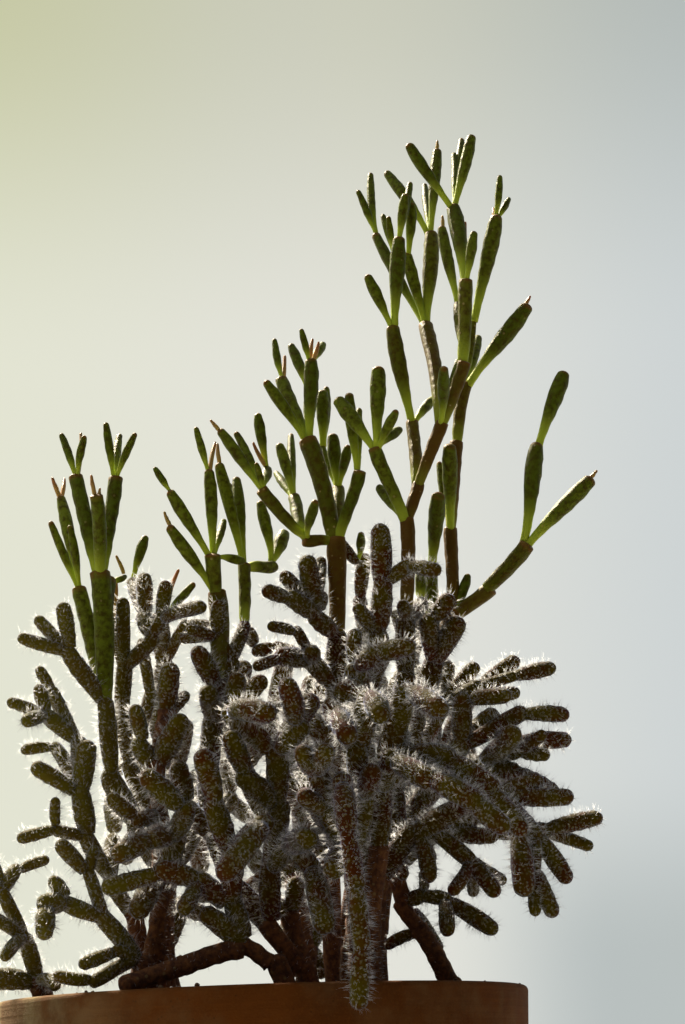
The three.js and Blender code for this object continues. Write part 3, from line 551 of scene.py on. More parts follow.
def unit(vectors):
    """Vectors at length 1."""
    return vectors / np.maximum(np.linalg.norm(vectors, axis=-1, keepdims=True), TINY)


def circle(sides):
    """Evenly spaced directions round a full turn, in radians."""
    return np.arange(sides) * TURN / sides


RADII = np.array([shape["radius"] for shape in KINDS.values()])
joints, segments = trace()
points = place(make_way(joints, segments))

# The heading of the first segment above each, or none for an end.
heading_above = np.zeros((len(segments), 3))
for row in segments[::-1]:
    if row[4] >= 0:
        heading_above[row[4]] = unit(points[row[3]] - points[row[2]])

# How the skin of each kind departs from its outline, in mm: pitch and number of the crossing
# spirals of bumps, and their height as a part of the radius; the length of a swell; the usual
# length; how far the middle line sways; the radius of the skin beside the solid's. Kinds with
# less of a pale neck have the part of it that is already past at their foot. Bristly kinds have
# tufts per square mm, bristles in each, and their length.
ROUGHNESS = {
    "trunk": dict(pitch=4.5, spirals=(4, 3), bump=0.08, swell=9, usual=20, sway=0.1, skin=0.97,
                  tufts=0.12, each=2, hair=1.8),
    "wool": dict(pitch=3.4, spirals=(5, 3), bump=0.06, swell=12, usual=18, sway=0.16, skin=0.98,
                 tufts=0.605, each=3, hair=3.1),
    "finger": dict(pitch=3, spirals=(5, 3), bump=0.06, swell=10, usual=15, sway=0.14, skin=1.03,
                   tufts=0.71, each=3, hair=2.8),
    "wisp": dict(pitch=3, spirals=(4, 3), bump=0.06, swell=9, usual=13, sway=0.14, skin=1.08,
                 tufts=0.79, each=3, hair=2.4),
    "stem": dict(pitch=6.5, spirals=(3, 2), bump=0.05, swell=14, usual=26, sway=0.08, skin=1,
                 past=0.35),
    "cane": dict(pitch=6, spirals=(3, 2), bump=0.06, swell=13, usual=26, sway=0.08, skin=1,
                 past=0.12),
    "bone": dict(pitch=5.5, spirals=(3, 2), bump=0.055, swell=12, usual=26, sway=0.08, skin=1.02),
    "slim": dict(pitch=5, spirals=(3, 2), bump=0.055, swell=9, usual=18, sway=0.1, skin=1.03),
    "twig": dict(pitch=4, spirals=(3, 2), bump=0.06, swell=7, usual=14, sway=0.12, skin=1.02),
    "bud": dict(pitch=1.6, spirals=(2, 1), bump=0.12, swell=3, usual=6, sway=0.2, skin=1.25),
}

# Segments start inside the tip below, this many of its radii in and to the side. Their ends turn
# this much towards their neighbours, and those with OLD generations above them look old. A
# segment longer than usual is thicker, by this power and between these limits. The roundness is
# off by a part of the radius.
INSET = 0.6
SPREAD = 0.6
LEAN = 0.3
OLD = 6
GIRTH_POWER = 0.25
GIRTHS = 0.86, 1.12
UNROUND = 0.03
DOME_RINGS = 5


def rounded(outline, along):
    """An outline given as pairs, read at along, with its corners rounded by twice averaging each
    value with its neighbours (1, 2, 1)."""
    radii = np.interp(along, *np.array(outline, float).T)
    for _ in range(2):
        radii[1:-1] = (radii[:-2] + 2 * radii[1:-1] + radii[2:]) / 4
    return radii


def profile(shape):
    """Rings of one segment: along = part * length + offset * radius, and the ring's share of the
    radius. The body's rings are evenly spaced, and the dome's lie on a quarter of an ellipse,
    dome radii high."""
    part = np.linspace(0, 1, shape["rings"])
    radii = rounded(shape["outline"], part)
    turn = np.linspace(0, math.pi / 2, DOME_RINGS + 1)[1:-1]
    cap = [np.ones(len(turn)), shape["dome"] * (np.sin(turn) - 1), radii[-1] * np.cos(turn)]
    body = [part, -part * shape["dome"], radii]
    return np.concatenate([body, cap], 1)


def grids(rows, kind):
    """Skins of the segments in these rows, all of one kind, as points (segment, ring, side), the
    poles at their ends and their growth: part of the length, age and tone.
    The middle line of each is a cubic curve from inside the tip below to its own tip. Its end
    directions lean towards the segment below and the one above, and sway a little. Round it, the
    radius follows the outline, times 1 + two crossing spirals of low bumps + a slight oval + a
    slow swell along the length."""
    shape, rough, count = KINDS[kind], ROUGHNESS[kind], len(rows)
    base, tip = points[segments[rows, 2]], points[segments[rows, 3]]
    below = segments[rows, 4]
    rooted = below < 0
    down = unit(np.where(rooted[:, None], base - tip, points[segments[below, 2]] - base))
    under = np.where(rooted, 0, RADII[segments[below, 1]])
    aim = unit(tip - base)
    lean = aim - (aim * down).sum(1, keepdims=True) * down
    start = base + (INSET * down + SPREAD * lean) * under[:, None]
    straight = tip - start
    length = np.linalg.norm(straight, axis=1)[:, None]
    heading = straight / length
    sway = unit(np.cross(heading, chance.normal(size=(count, 3))))
    sway *= chance.uniform(0, rough["sway"], (count, 1))
    leave = unit(heading - LEAN * down + sway) * length
    arrive = unit(heading + LEAN * heading_above[rows] - sway) * length
    girth = np.clip((length / rough["usual"]) ** GIRTH_POWER, *GIRTHS)
    radius = shape["radius"] * rough["skin"] * girth

    part, offset, share = profile(shape)
    along = part * length + offset * radius
    s = (along / length)[..., None]
    h = [2 * s**3 - 3 * s**2 + 1, s**3 - 2 * s**2 + s, 3 * s**2 - 2 * s**3, s**3 - s**2]
    g = [6 * s**2 - 6 * s, 3 * s**2 - 4 * s + 1, 6 * s - 6 * s**2, 3 * s**2 - 2 * s]
    knots = [v[:, None] for v in (start, leave, tip, arrive)]
    middle = sum(a * b for a, b in zip(h, knots))
    tangent = unit(sum(a * b for a, b in zip(g, knots)))
    side = unit(np.cross(heading, chance.normal(size=(count, 3))))[:, None]
    right = unit(side - (side * tangent).sum(-1, keepdims=True) * tangent)
    front = np.cross(tangent, right)

    turn = circle(shape["sides"])
    phase = chance.uniform(0, TURN, (3, count, 1, 1))
    wave = TURN * along[..., None] / rough["pitch"]
    n, m = rough["spirals"]
    bumps = (np.cos(n * turn + wave + phase[0]) + np.cos(m * turn - wave + phase[1])) / 2
    oval = np.cos(2 * turn + phase[2])
    swell = np.sin(math.pi * along[..., None] / rough["swell"] + phase[2])
    uneven = 1 + rough["bump"] * bumps + UNROUND * oval + UNROUND * swell
    ring = radius[..., None] * share[:, None] * uneven
    turn = turn[:, None]
    around = np.cos(turn) * right[:, :, None] + np.sin(turn) * front[:, :, None]
    skin = middle[:, :, None] + ring[..., None] * around
    poles = np.stack([middle[:, 0], tip], 1)
    growth = np.empty((count, len(part), 3))
    past = rough.get("past", 0)
    growth[..., 0] = past + (1 - past) * along / length
    growth[..., 1] = np.minimum(segments[rows, 5] / OLD, 1)[:, None]
    growth[..., 2] = chance.uniform(0, 1, (count, 1))
    return skin, poles, growth


def closed(skin, poles, growth, number):
    """Grids of points (piece, ring, side) with a pole at each end, as points, four- and
    three-cornered faces that point outwards, the number of their material and the growth of
    every point."""
    pieces, rings, sides = skin.shape[:3]
    points_each = rings * sides + 2
    first = (np.arange(pieces) * points_each)[:, None, None]
    ring, side = np.arange(rings - 1)[:, None] * sides, np.arange(sides)
    following = (side + 1) % sides
    quads = np.stack([first + ring + side, first + ring + following,
                      first + ring + sides + following, first + ring + sides + side], -1)
    last = (rings - 1) * sides
    first = first[:, 0]
    foot_pole, top_pole = first + rings * sides + 0 * side, first + rings * sides + 1 + 0 * side
    foot = np.stack([foot_pole, first + following, first + side], -1)
    top = np.stack([first + last + side, first + last + following, top_pole], -1)
    spread = np.repeat(growth[:, :, None], sides, 2).reshape(pieces, -1, 3)
    return dict(points=np.concatenate([skin.reshape(pieces, -1, 3), poles], 1).reshape(-1, 3),
                quads=quads.reshape(-1, 4),
                triangles=np.concatenate([foot, top], 1).reshape(-1, 3), material=number,
                growth=np.concatenate([spread, growth[:, [0, -1]]], 1).reshape(-1, 3))


# Bristles: their thickness, how deep they are rooted, how far they lean and scatter, their
# length beside that of their kind, and how much longer the longest few are.
BRISTLE_RADIUS = 0.036
BRISTLE_WIDTHS = 0.7, 1.3
BRISTLE_ROOT = 0.15
BRISTLE_LEAN = 0.3
BRISTLE_SCATTER = 0.17
BRISTLE_LENGTHS = 0.45, 1.25
BRISTLE_SHORTENED, BRISTLE_LONGER = 0.7, 0.6


def bristles(skin, rough, number):
    """Tufts of fine bristles on grids of points (piece, ring, side). A tuft's foot is a random
    point of a random cell, and each bristle is a sliver with three long faces and a foot: it
    leans from the skin towards the tip."""
    rings, sides = skin.shape[1:3]
    middle = skin.mean(2)
    along = np.linalg.norm(np.diff(middle, axis=1), axis=-1)
    across = np.linalg.norm(skin[:, :, 0] - middle, axis=-1)[:, 1:]
    area = TURN * along * across
    tufts = int(area.sum() * rough["tufts"])
    cell = chance.choice(area.size, tufts, p=area.ravel() / area.sum())
    piece, ring = np.divmod(cell, rings - 1)
    side = chance.integers(0, sides, tufts)
    a, b = chance.uniform(0, 1, (2, tufts, 1))
    following = (side + 1) % sides
    left, right = skin[piece, ring, side], skin[piece, ring, following]
    left_up, right_up = skin[piece, ring + 1, side], skin[piece, ring + 1, following]
    foot = (left * (1 - a) + right * a) * (1 - b) + (left_up * (1 - a) + right_up * a) * b
    upward = unit(left_up - left)
    outward = unit(np.cross(right - left, upward))
    foot, upward, outward = [np.repeat(v, rough["each"], 0) for v in (foot, upward, outward)]
    total = len(foot)
    lean = chance.uniform(0, BRISTLE_LEAN, (total, 1))
    direction = unit(outward + lean * upward + chance.normal(0, BRISTLE_SCATTER, (total, 3)))
    length = rough["hair"] * chance.uniform(*BRISTLE_LENGTHS, (total, 1))
    length = length * (BRISTLE_SHORTENED + BRISTLE_LONGER * chance.uniform(0, 1, (total, 1)) ** 3)
    flat = unit(np.cross(direction, chance.normal(size=(total, 3))))
    other = np.cross(direction, flat)
    turn = circle(3)[:, None]
    triangle = flat[:, None] * np.cos(turn) + other[:, None] * np.sin(turn)
    thick = BRISTLE_RADIUS * chance.uniform(*BRISTLE_WIDTHS, (total, 1, 1))
    base = (foot - BRISTLE_ROOT * direction)[:, None] + triangle * thick
    tip = (foot + direction * length)[:, None]
    corners = np.array([[0, 2, 1], [0, 1, 3], [1, 2, 3], [2, 0, 3]])
    faces = (np.arange(total) * 4)[:, None, None] + corners
    shade = np.repeat(chance.uniform(0, 1, (total, 1, 3)), 4, 1)
    shade[:, :3, 0], shade[:, 3, 0] = 0, 1
    return dict(points=np.concatenate([base, tip], 1).reshape(-1, 3),
                quads=np.zeros((0, 4), int), triangles=faces.reshape(-1, 3), material=number,
                growth=shade.reshape(-1, 3))


def solid(name, parts, materials):
    """One smooth-shaded mesh object of several parts, riding on the root body, with growth as its
    attribute."""
    def joined(key):
        return np.concatenate([part[key] for part in parts])

    starts = np.cumsum([0] + [len(part["points"]) for part in parts])
    quads, triangles = [np.concatenate([part[key] + start for part, start in zip(parts, starts)])
                        for key in ("quads", "triangles")]
    numbers = [np.full(len(part[key]), part["material"])
               for key in ("quads", "triangles") for part in parts]
    corners = np.concatenate([quads.ravel(), triangles.ravel()])
    sizes = np.concatenate([np.full(len(quads), 4), np.full(len(triangles), 3)])
    mesh = bpy.data.meshes.new(name)
    mesh.vertices.add(starts[-1])
    mesh.vertices.foreach_set("co", (joined("points") * MM).ravel())
    mesh.loops.add(len(corners))
    mesh.loops.foreach_set("vertex_index", corners)
    mesh.polygons.add(len(sizes))
    mesh.polygons.foreach_set("loop_start", np.cumsum(sizes) - sizes)
    mesh.polygons.foreach_set("material_index", np.concatenate(numbers))
    mesh.polygons.foreach_set("use_smooth", np.ones(len(sizes), bool))
    mesh.update(calc_edges=True)
    mesh.attributes.new("growth", "FLOAT_VECTOR", "POINT")
    mesh.attributes["growth"].data.foreach_set("vector", joined("growth").ravel())
    for used in materials:
        mesh.materials.append(used)
    made = bpy.data.objects.new(name, mesh)
    bpy.context.scene.collection.objects.link(made)
    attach(made, "root")
    return made


def linear(code):
    """An sRGB hex colour as linear red, green, blue and alpha."""
    value = np.array([int(code[i:i + 2], 16) for i in (1, 3, 5)]) / 255
    return (*np.where(value <= 0.04045, value / 12.92, ((value + 0.055) / 1.055) ** 2.4), 1)


def node(tree, kind, inputs=(), **settings):
    """Adds a node with its settings. Its inputs, in order or by name or number, are linked to a
    socket or set to a value, which is a hex colour, a number or a row of numbers."""
    made = tree.nodes.new("ShaderNode" + kind)
    for name, value in settings.items():
        setattr(made, name, value)
    for name, value in inputs.items() if isinstance(inputs, dict) else enumerate(inputs):
        if isinstance(value, bpy.types.NodeSocket):
            tree.links.new(value, made.inputs[name])
        else:
            made.inputs[name].default_value = linear(value) if isinstance(value, str) else value
    return made


def material(name, paint):
    """A node material: paint gets the tree and returns its surface."""
    made = bpy.data.materials.new(name)
    made.use_nodes = True
    made.node_tree.nodes.clear()
    node(made.node_tree, "OutputMaterial", {"Surface": paint(made.node_tree).outputs[0]})
    return made


def clouds(tree, *kinds):
    """Object coordinates, and noise on them from 0 to 1 for each kind, which is the size of its
    features in mm, its detail and its roughness."""
    where = node(tree, "TexCoord").outputs["Object"]
    return where, *[node(tree, "TexNoise", {"Vector": where, "Scale": 1 / (size * MM),
                                            "Detail": detail, "Roughness": rough}).outputs["Fac"]
                    for size, detail, rough in kinds]


def growth_parts(tree):
    """The three values of the growth attribute: part of the length, age, and tone of the piece."""
    read = node(tree, "Attribute", attribute_name="growth").outputs["Vector"]
    return node(tree, "SeparateXYZ", [read]).outputs[:3]


def mask(tree, *factors):
    """How much shows, from 0 to 1: the product of the factors. Each is a number, a socket, or
    (socket, low, high, start, end), which goes smoothly from start at low to end at high, and
    no further: from 0 to 1 if it names no start and end."""
    whole = None
    for part in factors:
        if isinstance(part, tuple):
            part = node(tree, "MapRange", part, interpolation_type="SMOOTHSTEP").outputs[0]
        if whole is not None:
            part = node(tree, "Math", [whole, part], operation="MULTIPLY").outputs[0]
        whole = part
    return whole


# How soft the edge of a spot is, as a part of its radius.
SPOT_BLUR = 0.3


def spots(tree, where, pitch, width):
    """A factor of a mask: 1 inside soft round spots that lie a pitch apart and are width across,
    in mm, 0 between them."""
    cells = node(tree, "TexVoronoi", {"Vector": where, "Scale": 1 / (pitch * MM)})
    edge = width / 2 / pitch
    return cells.outputs["Distance"], edge * (1 - SPOT_BLUR), edge * (1 + SPOT_BLUR), 1, 0


def painted(tree, colour, *coats):
    """A colour with coats over it, first to last, each a colour and the factors of its mask."""
    for coat, *factors in coats:
        mixed = {0: mask(tree, *factors), 6: colour, 7: coat}
        colour = node(tree, "Mix", mixed, data_type="RGBA").outputs[2]
    return colour


def smooth_skin(tree):
    """Living skin of the smooth segments: waxy, dark green, with a yellow-green neck where it is
    thin, turning olive brown with age and browner still towards the right as painted shade, with
    fine mottling, pale corky specks and a brown scar round the tip."""
    where, mottle = clouds(tree, (1.6, 4, 0.6))
    along, age, tone = growth_parts(tree)
    across = node(tree, "SeparateXYZ", [where]).outputs[0]
    # Painted shade: the browning of age is cut to under half at the left and is full at the right.
    age = mask(tree, age, (across, -0.04, 0.01, 0.45, 1))
    body = painted(tree, "#4b5b0b", ("#687518", tone), ("#3d3905", (mottle, 0.35, 0.7)),
                   ("#5a3910", (age, 0.1, 0.75, 0, 0.88)),
                   ("#a4b434", (along, 0.1, 0.5, 1, 0), (age, 0.2, 0.9, 1, 0.12)),
                   ("#6e4a1c", (along, 0.93, 0.985), (mottle, 0.3, 0.5, 0.3, 0.9)),
                   ("#a48f58", spots(tree, where, 3.4, 0.75), (age, 0, 0.5, 0.25, 0.8)))
    bump = node(tree, "Bump", {"Height": mottle, "Strength": 1, "Distance": 0.4 * MM})
    return node(tree, "BsdfPrincipled", {
        "Base Color": body, "Roughness": 0.55, "IOR": 1.35, "Specular Tint": "#f2cf8a",
        "Normal": bump.outputs[0], "Subsurface Weight": 0.25, "Subsurface Radius": (1, 0.8, 0.25),
        "Subsurface Scale": 1.2 * MM})


def woolly_skin(tree):
    """Skin of the bristly stems: dull dark olive with a bloom of short down, closely set with
    pale felted spots, browner in patches, and lighter and greener at the left as painted sunlight."""
    where, patch, grain, felting = clouds(tree, (9, 3, 0.6), (0.5, 3, 0.6), (4, 3, 0.6))
    age = growth_parts(tree)[1]
    across = node(tree, "SeparateXYZ", [where]).outputs[0]
    felt = mask(tree, spots(tree, where, 0.85, 0.62), (felting, 0.3, 0.6, 0.3, 0.85))
    body = painted(tree, "#4c4202", ("#461d01", (patch, 0.38, 0.66)),
                   ("#2a1103", (age, 0.2, 1, 0, 0.5)),
                   # Painted sunlight: a lighter green coat that grows stronger towards the left.
                   ("#6a6420", (across, -0.06, -0.01, 0.55, 0)),
                   ("#625612", (grain, 0.5, 0.8, 0, 0.5)), ("#7e7650", felt))
    bump = node(tree, "Bump", {"Height": felt, "Strength": 1, "Distance": 0.35 * MM})
    return node(tree, "BsdfPrincipled", {
        "Base Color": body, "Roughness": 0.85, "IOR": 1.3, "Normal": bump.outputs[0],
        "Specular Tint": "#c09050", "Sheen Weight": 0.6, "Sheen Roughness": 0.35,
        "Sheen Tint": "#bccaf0"})


def corky_bark(tree):
    """Bark of the oldest stems: rough, nearly black brown, with paler cracks and specks."""
    where, rough = clouds(tree, (1.8, 6, 0.7))
    body = painted(tree, "#3e1c05", ("#77491f", (rough, 0.35, 0.7)),
                   ("#8a7448", spots(tree, where, 3.2, 0.9), 0.5))
    bump = node(tree, "Bump", {"Height": rough, "Strength": 1, "Distance": 0.9 * MM})
    return node(tree, "BsdfPrincipled", {
        "Base Color": body, "Roughness": 0.9, "IOR": 1.45, "Normal": bump.outputs[0]})


def white_bristle(tree):
    """Bristles: fine, brown at the foot and bluish white above, and so thin that light comes
    through, so that they light up against the sun."""
    along, shade = growth_parts(tree)[:2]
    colour = painted(tree, "#ebe7ee", ("#bdb8cb", shade), ("#5e430a", (along, 0, 0.62, 1, 0)))
    return node(tree, "BsdfPrincipled", {
        "Base Color": colour, "Roughness": 0.5, "IOR": 1.4,
        "Subsurface Weight": 1, "Subsurface Radius": (1, 1, 1), "Subsurface Scale": 0.5 * MM})


def orange_bud(tree):
    """Young buds: smooth, orange brown with a redder tip, and greener ones among them."""
    along, _, tone = growth_parts(tree)
    body = painted(tree, "#b0843a", ("#9c5c2c", (along, 0.2, 0.9)), ("#8a8a34", tone, 0.5))
    return node(tree, "BsdfPrincipled", {
        "Base Color": body, "Roughness": 0.45, "IOR": 1.42, "Subsurface Weight": 0.25,
        "Subsurface Radius": (1, 0.5, 0.25), "Subsurface Scale": 0.8 * MM})


# Height between the throwing lines of the pot.
THROWING_STEP = 1.4


def fired_clay(tree):
    """Unglazed brown clay: matt, with grit in the surface, faint throwing lines and a pale bloom
    of lime, faint all round and made much paler at the left as a painted highlight."""
    where, grit, cloud, bloom = clouds(tree, (0.6, 4, 0.6), (28, 4, 0.6), (17, 6, 0.65))
    across, _, up = node(tree, "SeparateXYZ", [where]).outputs[:3]
    body = painted(tree, "#4b2203", ("#602f05", (cloud, 0.3, 0.7)),
                   ("#6c3c10", (grit, 0.45, 0.8, 0, 0.5)),
                   ("#2a1202", spots(tree, where, 2.6, 0.5), 0.5),
                   # A pale lime bloom, faint all round. Its strong part at the left is a painted
                   # highlight of the sunlit side.
                   ("#9c8f68", (bloom, 0.4, 0.7, 0.2, 0.85), (across, -0.075, -0.03, 1, 0.15)))
    turns = node(tree, "Math", [up, 1 / (THROWING_STEP * MM)], operation="MULTIPLY").outputs[0]
    lines = node(tree, "TexNoise", {"W": turns, "Scale": 1, "Detail": 2}, noise_dimensions="1D")
    height = node(tree, "Math", [grit, lines.outputs["Fac"]], operation="ADD").outputs[0]
    bump = node(tree, "Bump", {"Height": height, "Strength": 1, "Distance": 0.22 * MM})
    return node(tree, "BsdfPrincipled", {
        "Base Color": body, "Roughness": 0.9, "IOR": 1.28, "Specular Tint": "#e8b070",
        "Normal": bump.outputs[0]})


def crumbly_soil(tree):
    """Dry potting soil: dark peat with fibres and pale grit."""
    where, crumb = clouds(tree, (2.2, 6, 0.7))
    body = painted(tree, "#1c120a", ("#4c3823", (crumb, 0.35, 0.7)),
                   ("#8f8168", spots(tree, where, 2.4, 0.7), 0.7))
    bump = node(tree, "Bump", {"Height": crumb, "Strength": 1, "Distance": 1.2 * MM})
    return node(tree, "BsdfPrincipled", {
        "Base Color": body, "Roughness": 0.95, "IOR": 1.4, "Normal": bump.outputs[0]})


def loose_crumb(tree):
    """Loose crumbs of peat, bark and grit, each in a tone of its own."""
    tone = growth_parts(tree)[2]
    _, dirt = clouds(tree, (0.9, 3, 0.6))
    body = painted(tree, "#21140a", ("#5a4128", (tone, 0.2, 0.75)),
                   ("#b8ac92", (tone, 0.84, 0.93)), ("#0f0804", (dirt, 0.4, 0.8, 0, 0.4)))
    return node(tree, "BsdfPrincipled", {"Base Color": body, "Roughness": 0.95, "IOR": 1.4})


def dry_moss(tree):
    """Cushion moss: fine blades, yellow green at their tips and brown below."""
    along, _, tone = growth_parts(tree)
    body = painted(tree, "#2c2a0d", ("#6f7a2b", along), ("#5a3c18", tone, 0.5))
    return node(tree, "BsdfPrincipled", {"Base Color": body, "Roughness": 0.9, "IOR": 1.4})


SKINS = [material("smooth_cactus_skin", smooth_skin), material("woolly_cactus_skin", woolly_skin),
         material("corky_bark", corky_bark), material("white_bristle", white_bristle),
         material("orange_bud", orange_bud)]
SKIN_NUMBERS = {"stem": 0, "cane": 0, "bone": 0, "slim": 0, "twig": 0, "wool": 1, "finger": 1,
                "wisp": 1, "trunk": 2, "bud": 4}
BRISTLE_NUMBER = 3


def make_shoot(number, entry):
    """One shoot: the skins of its segments kind by kind, and bristles on those that have them."""
    parts = []
    for kind_number, kind in enumerate(KINDS):
        rows = np.flatnonzero((segments[:, 0] == number) & (segments[:, 1] == kind_number))
        if len(rows):
            skin, poles, growth = grids(rows, kind)
            parts.append(closed(skin, poles, growth, SKIN_NUMBERS[kind]))
            if "tufts" in ROUGHNESS[kind]:
                parts.append(bristles(skin, ROUGHNESS[kind], BRISTLE_NUMBER))
    made = solid(entry["name"].replace("_shoot", "_stems"), parts, SKINS)
    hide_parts(entry["name"])


for number, entry in enumerate(SHOOTS):
    make_shoot(number, entry)

# Pot: an outline turned about +Z, then drilled.
POT_SIDES = 96
POT_STEP = 6
POT_WOBBLE = 0.0012
WOBBLE_START = 0.6
WOBBLE_THIRDS = 0.6
WOBBLE_RISE = 30
HUB_RADIUS = 4
NECK_ROUNDING = 0.6
NECK_DROP = 0.9
INNER_ROUNDING = 3
DRILL_SIDES = 32
DRILL_REACH = 2
SHARP_ANGLE = math.radians(38)
MOUTH_RADIUS = RIM_RADIUS - WALL
INNER_BASE = BASE_RADIUS - WALL
COLLAR_FOOT = POT_HEIGHT - COLLAR_HEIGHT
BODY_RADIUS = RIM_RADIUS - COLLAR_DRAFT - COLLAR_STEP


def arc(radius, height, size, start, end, steps=5):
    """Points round a corner: centre + size * (cos, sin) from start to end in degrees."""
    turn = np.radians(np.linspace(start, end, steps))
    return np.stack([radius + size * np.cos(turn), height + size * np.sin(turn)], 1)


def even(points, step):
    """A run of straight lines with points no further apart than about a step."""
    lines = []
    for (r0, z0), (r1, z1) in zip(points[:-1], points[1:]):
        count = max(1, int(math.hypot(r1 - r0, z1 - z0) / step))
        part = np.arange(count)[:, None] / count
        lines.append(np.array([[r0, z0]]) + part * np.array([[r1 - r0, z1 - z0]]))
    return np.concatenate([*lines, points[-1:]])


def turned(outline, sides, wobble=0):
    """A grid of rings (1, ring, side) for an outline of (radius, height) turned about +Z. The
    radius carries a slight wobble, as hand-finished clay has: two waves, and three lower ones
    that wind as they rise."""
    turn = circle(sides)
    radius, height = np.array(outline, float).T[..., None]
    thirds = WOBBLE_THIRDS * np.cos(3 * turn + height / WOBBLE_RISE)
    ring = radius * (1 + wobble * (np.cos(2 * turn + WOBBLE_START) + thirds))
    return np.stack([ring * np.cos(turn), ring * np.sin(turn), height + 0 * turn], -1)[None]


def pot_grid():
    """The pot's outline from the middle of the underside, out and up the wall, over the rim and
    down inside."""
    r, inner = ROUNDING, INNER_ROUNDING
    outline = np.concatenate([
        [[HUB_RADIUS, 0]],
        arc(BASE_RADIUS - r, r, r, -90, 0),
        arc(BODY_RADIUS - NECK_ROUNDING, COLLAR_FOOT - NECK_DROP, NECK_ROUNDING, 0, 60, 3),
        arc(RIM_RADIUS - COLLAR_DRAFT - r, COLLAR_FOOT + r, r, -80, 0),
        arc(RIM_RADIUS - r, POT_HEIGHT - r, r, 0, 90),
        arc(MOUTH_RADIUS + r, POT_HEIGHT - r, r, 90, 180),
        arc(INNER_BASE - inner, FLOOR + inner, inner, 0, -90),
        [[HUB_RADIUS, FLOOR]]])
    return turned(even(outline, POT_STEP), POT_SIDES, POT_WOBBLE)


def blank(skin):
    """Growth for a skin that has none."""
    return np.zeros((*skin.shape[:2], 3))


def make_pot():
    """The turned pot, with drain holes drilled by a boolean modifier that is then applied."""
    skin = pot_grid()
    ends = np.array([[[0, 0, 0], [0, 0, FLOOR]]], float)
    clay = [material("fired_brown_clay", fired_clay)]
    made = solid("clay_pot", [closed(skin, ends, blank(skin), 0)], clay)
    turn = np.radians(90 + 360 / DRAIN_HOLES * np.arange(DRAIN_HOLES))
    low, high = -DRILL_REACH, FLOOR + DRILL_REACH
    shift = DRAIN_RING * np.stack([np.cos(turn), np.sin(turn), 0 * turn], 1)
    drills = turned([(DRAIN_RADIUS, low), (DRAIN_RADIUS, high)], DRILL_SIDES)
    drills = drills + shift[:, None, None]
    caps = np.array([[0, 0, low], [0, 0, high]]) + shift[:, None]
    cutter = solid("drill", [closed(drills, caps, blank(drills), 0)], clay)
    cut = made.modifiers.new("drain_holes", "BOOLEAN")
    cut.object, cut.operation, cut.solver = cutter, "DIFFERENCE", "EXACT"
    whole = made.evaluated_get(bpy.context.evaluated_depsgraph_get())
    drilled = bpy.data.meshes.new_from_object(whole)
    made.modifiers.clear()
    made.data = drilled
    made.data.set_sharp_from_angle(angle=SHARP_ANGLE)
    bpy.data.objects.remove(cutter)
    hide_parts("pot")


make_pot()

# Soil: a block that fills the pot, with an uneven crumbly top: the radii of the rings round its
# poles, its room at the floor and at the wall, and the crown's heights at the wall. Its waves
# have random directions and go from long and high to short and low.
SOIL_TOP = POT_HEIGHT - SOIL_BELOW_RIM
SOIL_SIDES = 80
SOIL_RINGS = 40
SOIL_STEP = 8
SOIL_HUB, SOIL_TOP_HUB = 3, 1
SOIL_GAP, SOIL_WALL_GAP, SOIL_TOP_GAP = 0.3, 1.1, 1.2
SOIL_SHOULDER = 1
EDGE_HEIGHTS = 0.3, 0.5 - EDGE_DROP
WAVE_COUNT = 24
WAVES = chance.uniform(-1, 1, (WAVE_COUNT, 2)) * np.geomspace(0.08, 1.1, WAVE_COUNT)[:, None]
WAVE_STARTS = chance.uniform(0, TURN, WAVE_COUNT)
WAVE_HEIGHTS = 0.5 * np.geomspace(1, 0.35, WAVE_COUNT)
ROUGH_SOIL = 0.45


def soil_height(x, y):
    """Height of the soil: a low crown, falling to the wall, and a sum of sine waves of many
    lengths."""
    crown = np.interp(np.hypot(x, y), [0, CROWN_RADIUS, MOUTH_RADIUS - EDGE_WIDTH, MOUTH_RADIUS],
                      [SOIL_CROWN, SOIL_CROWN, *EDGE_HEIGHTS])
    phase = x[..., None] * WAVES[:, 0] + y[..., None] * WAVES[:, 1] + WAVE_STARTS
    return SOIL_TOP + crown + ROUGH_SOIL * (np.sin(phase) @ WAVE_HEIGHTS)


def make_soil():
    """The soil: from the middle of the floor out, up the wall and in over its uneven top."""
    slope = (MOUTH_RADIUS - INNER_BASE) / (POT_HEIGHT - ROUNDING - FLOOR)
    low, corner = FLOOR + SOIL_GAP, INNER_ROUNDING
    radii = np.linspace(SOIL_TOP_HUB, MOUTH_RADIUS - SOIL_TOP_GAP, SOIL_RINGS)[::-1]
    wall = np.array([[SOIL_HUB, low], [INNER_BASE - corner, low],
                     [INNER_BASE - corner / 2 + slope * corner, low + corner],
                     [MOUTH_RADIUS - SOIL_WALL_GAP, SOIL_TOP - EDGE_DROP - SOIL_SHOULDER]])
    top_rings = np.stack([radii, 0 * radii + SOIL_TOP], 1)
    skin = turned(np.concatenate([even(wall, SOIL_STEP), top_rings]), SOIL_SIDES)
    top = skin[:, -SOIL_RINGS:]
    top[..., 2] = soil_height(top[..., 0], top[..., 1])
    middle = np.zeros(1)
    poles = np.array([[[0, 0, low], [0, 0, soil_height(middle, middle)[0]]]])
    made = solid("soil_filling", [closed(skin, poles, blank(skin), 0)],
                 [material("dry_potting_soil", crumbly_soil)])
    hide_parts("potting_soil")


make_soil()

# Lumps: the tilts of their rings in degrees from the bottom, faces around, the height of their
# poles, how uneven they are, and the least and most of their width, depth and height.
LUMP_TILTS = 22, 60, 110, 150
LUMP_SIDES = 6
LUMP_POLE = 0.95
LUMP_UNEVEN = 0.7, 1.15
LUMP_SHAPES = (0.7, 0.7, 0.45), (1.3, 1, 0.8)


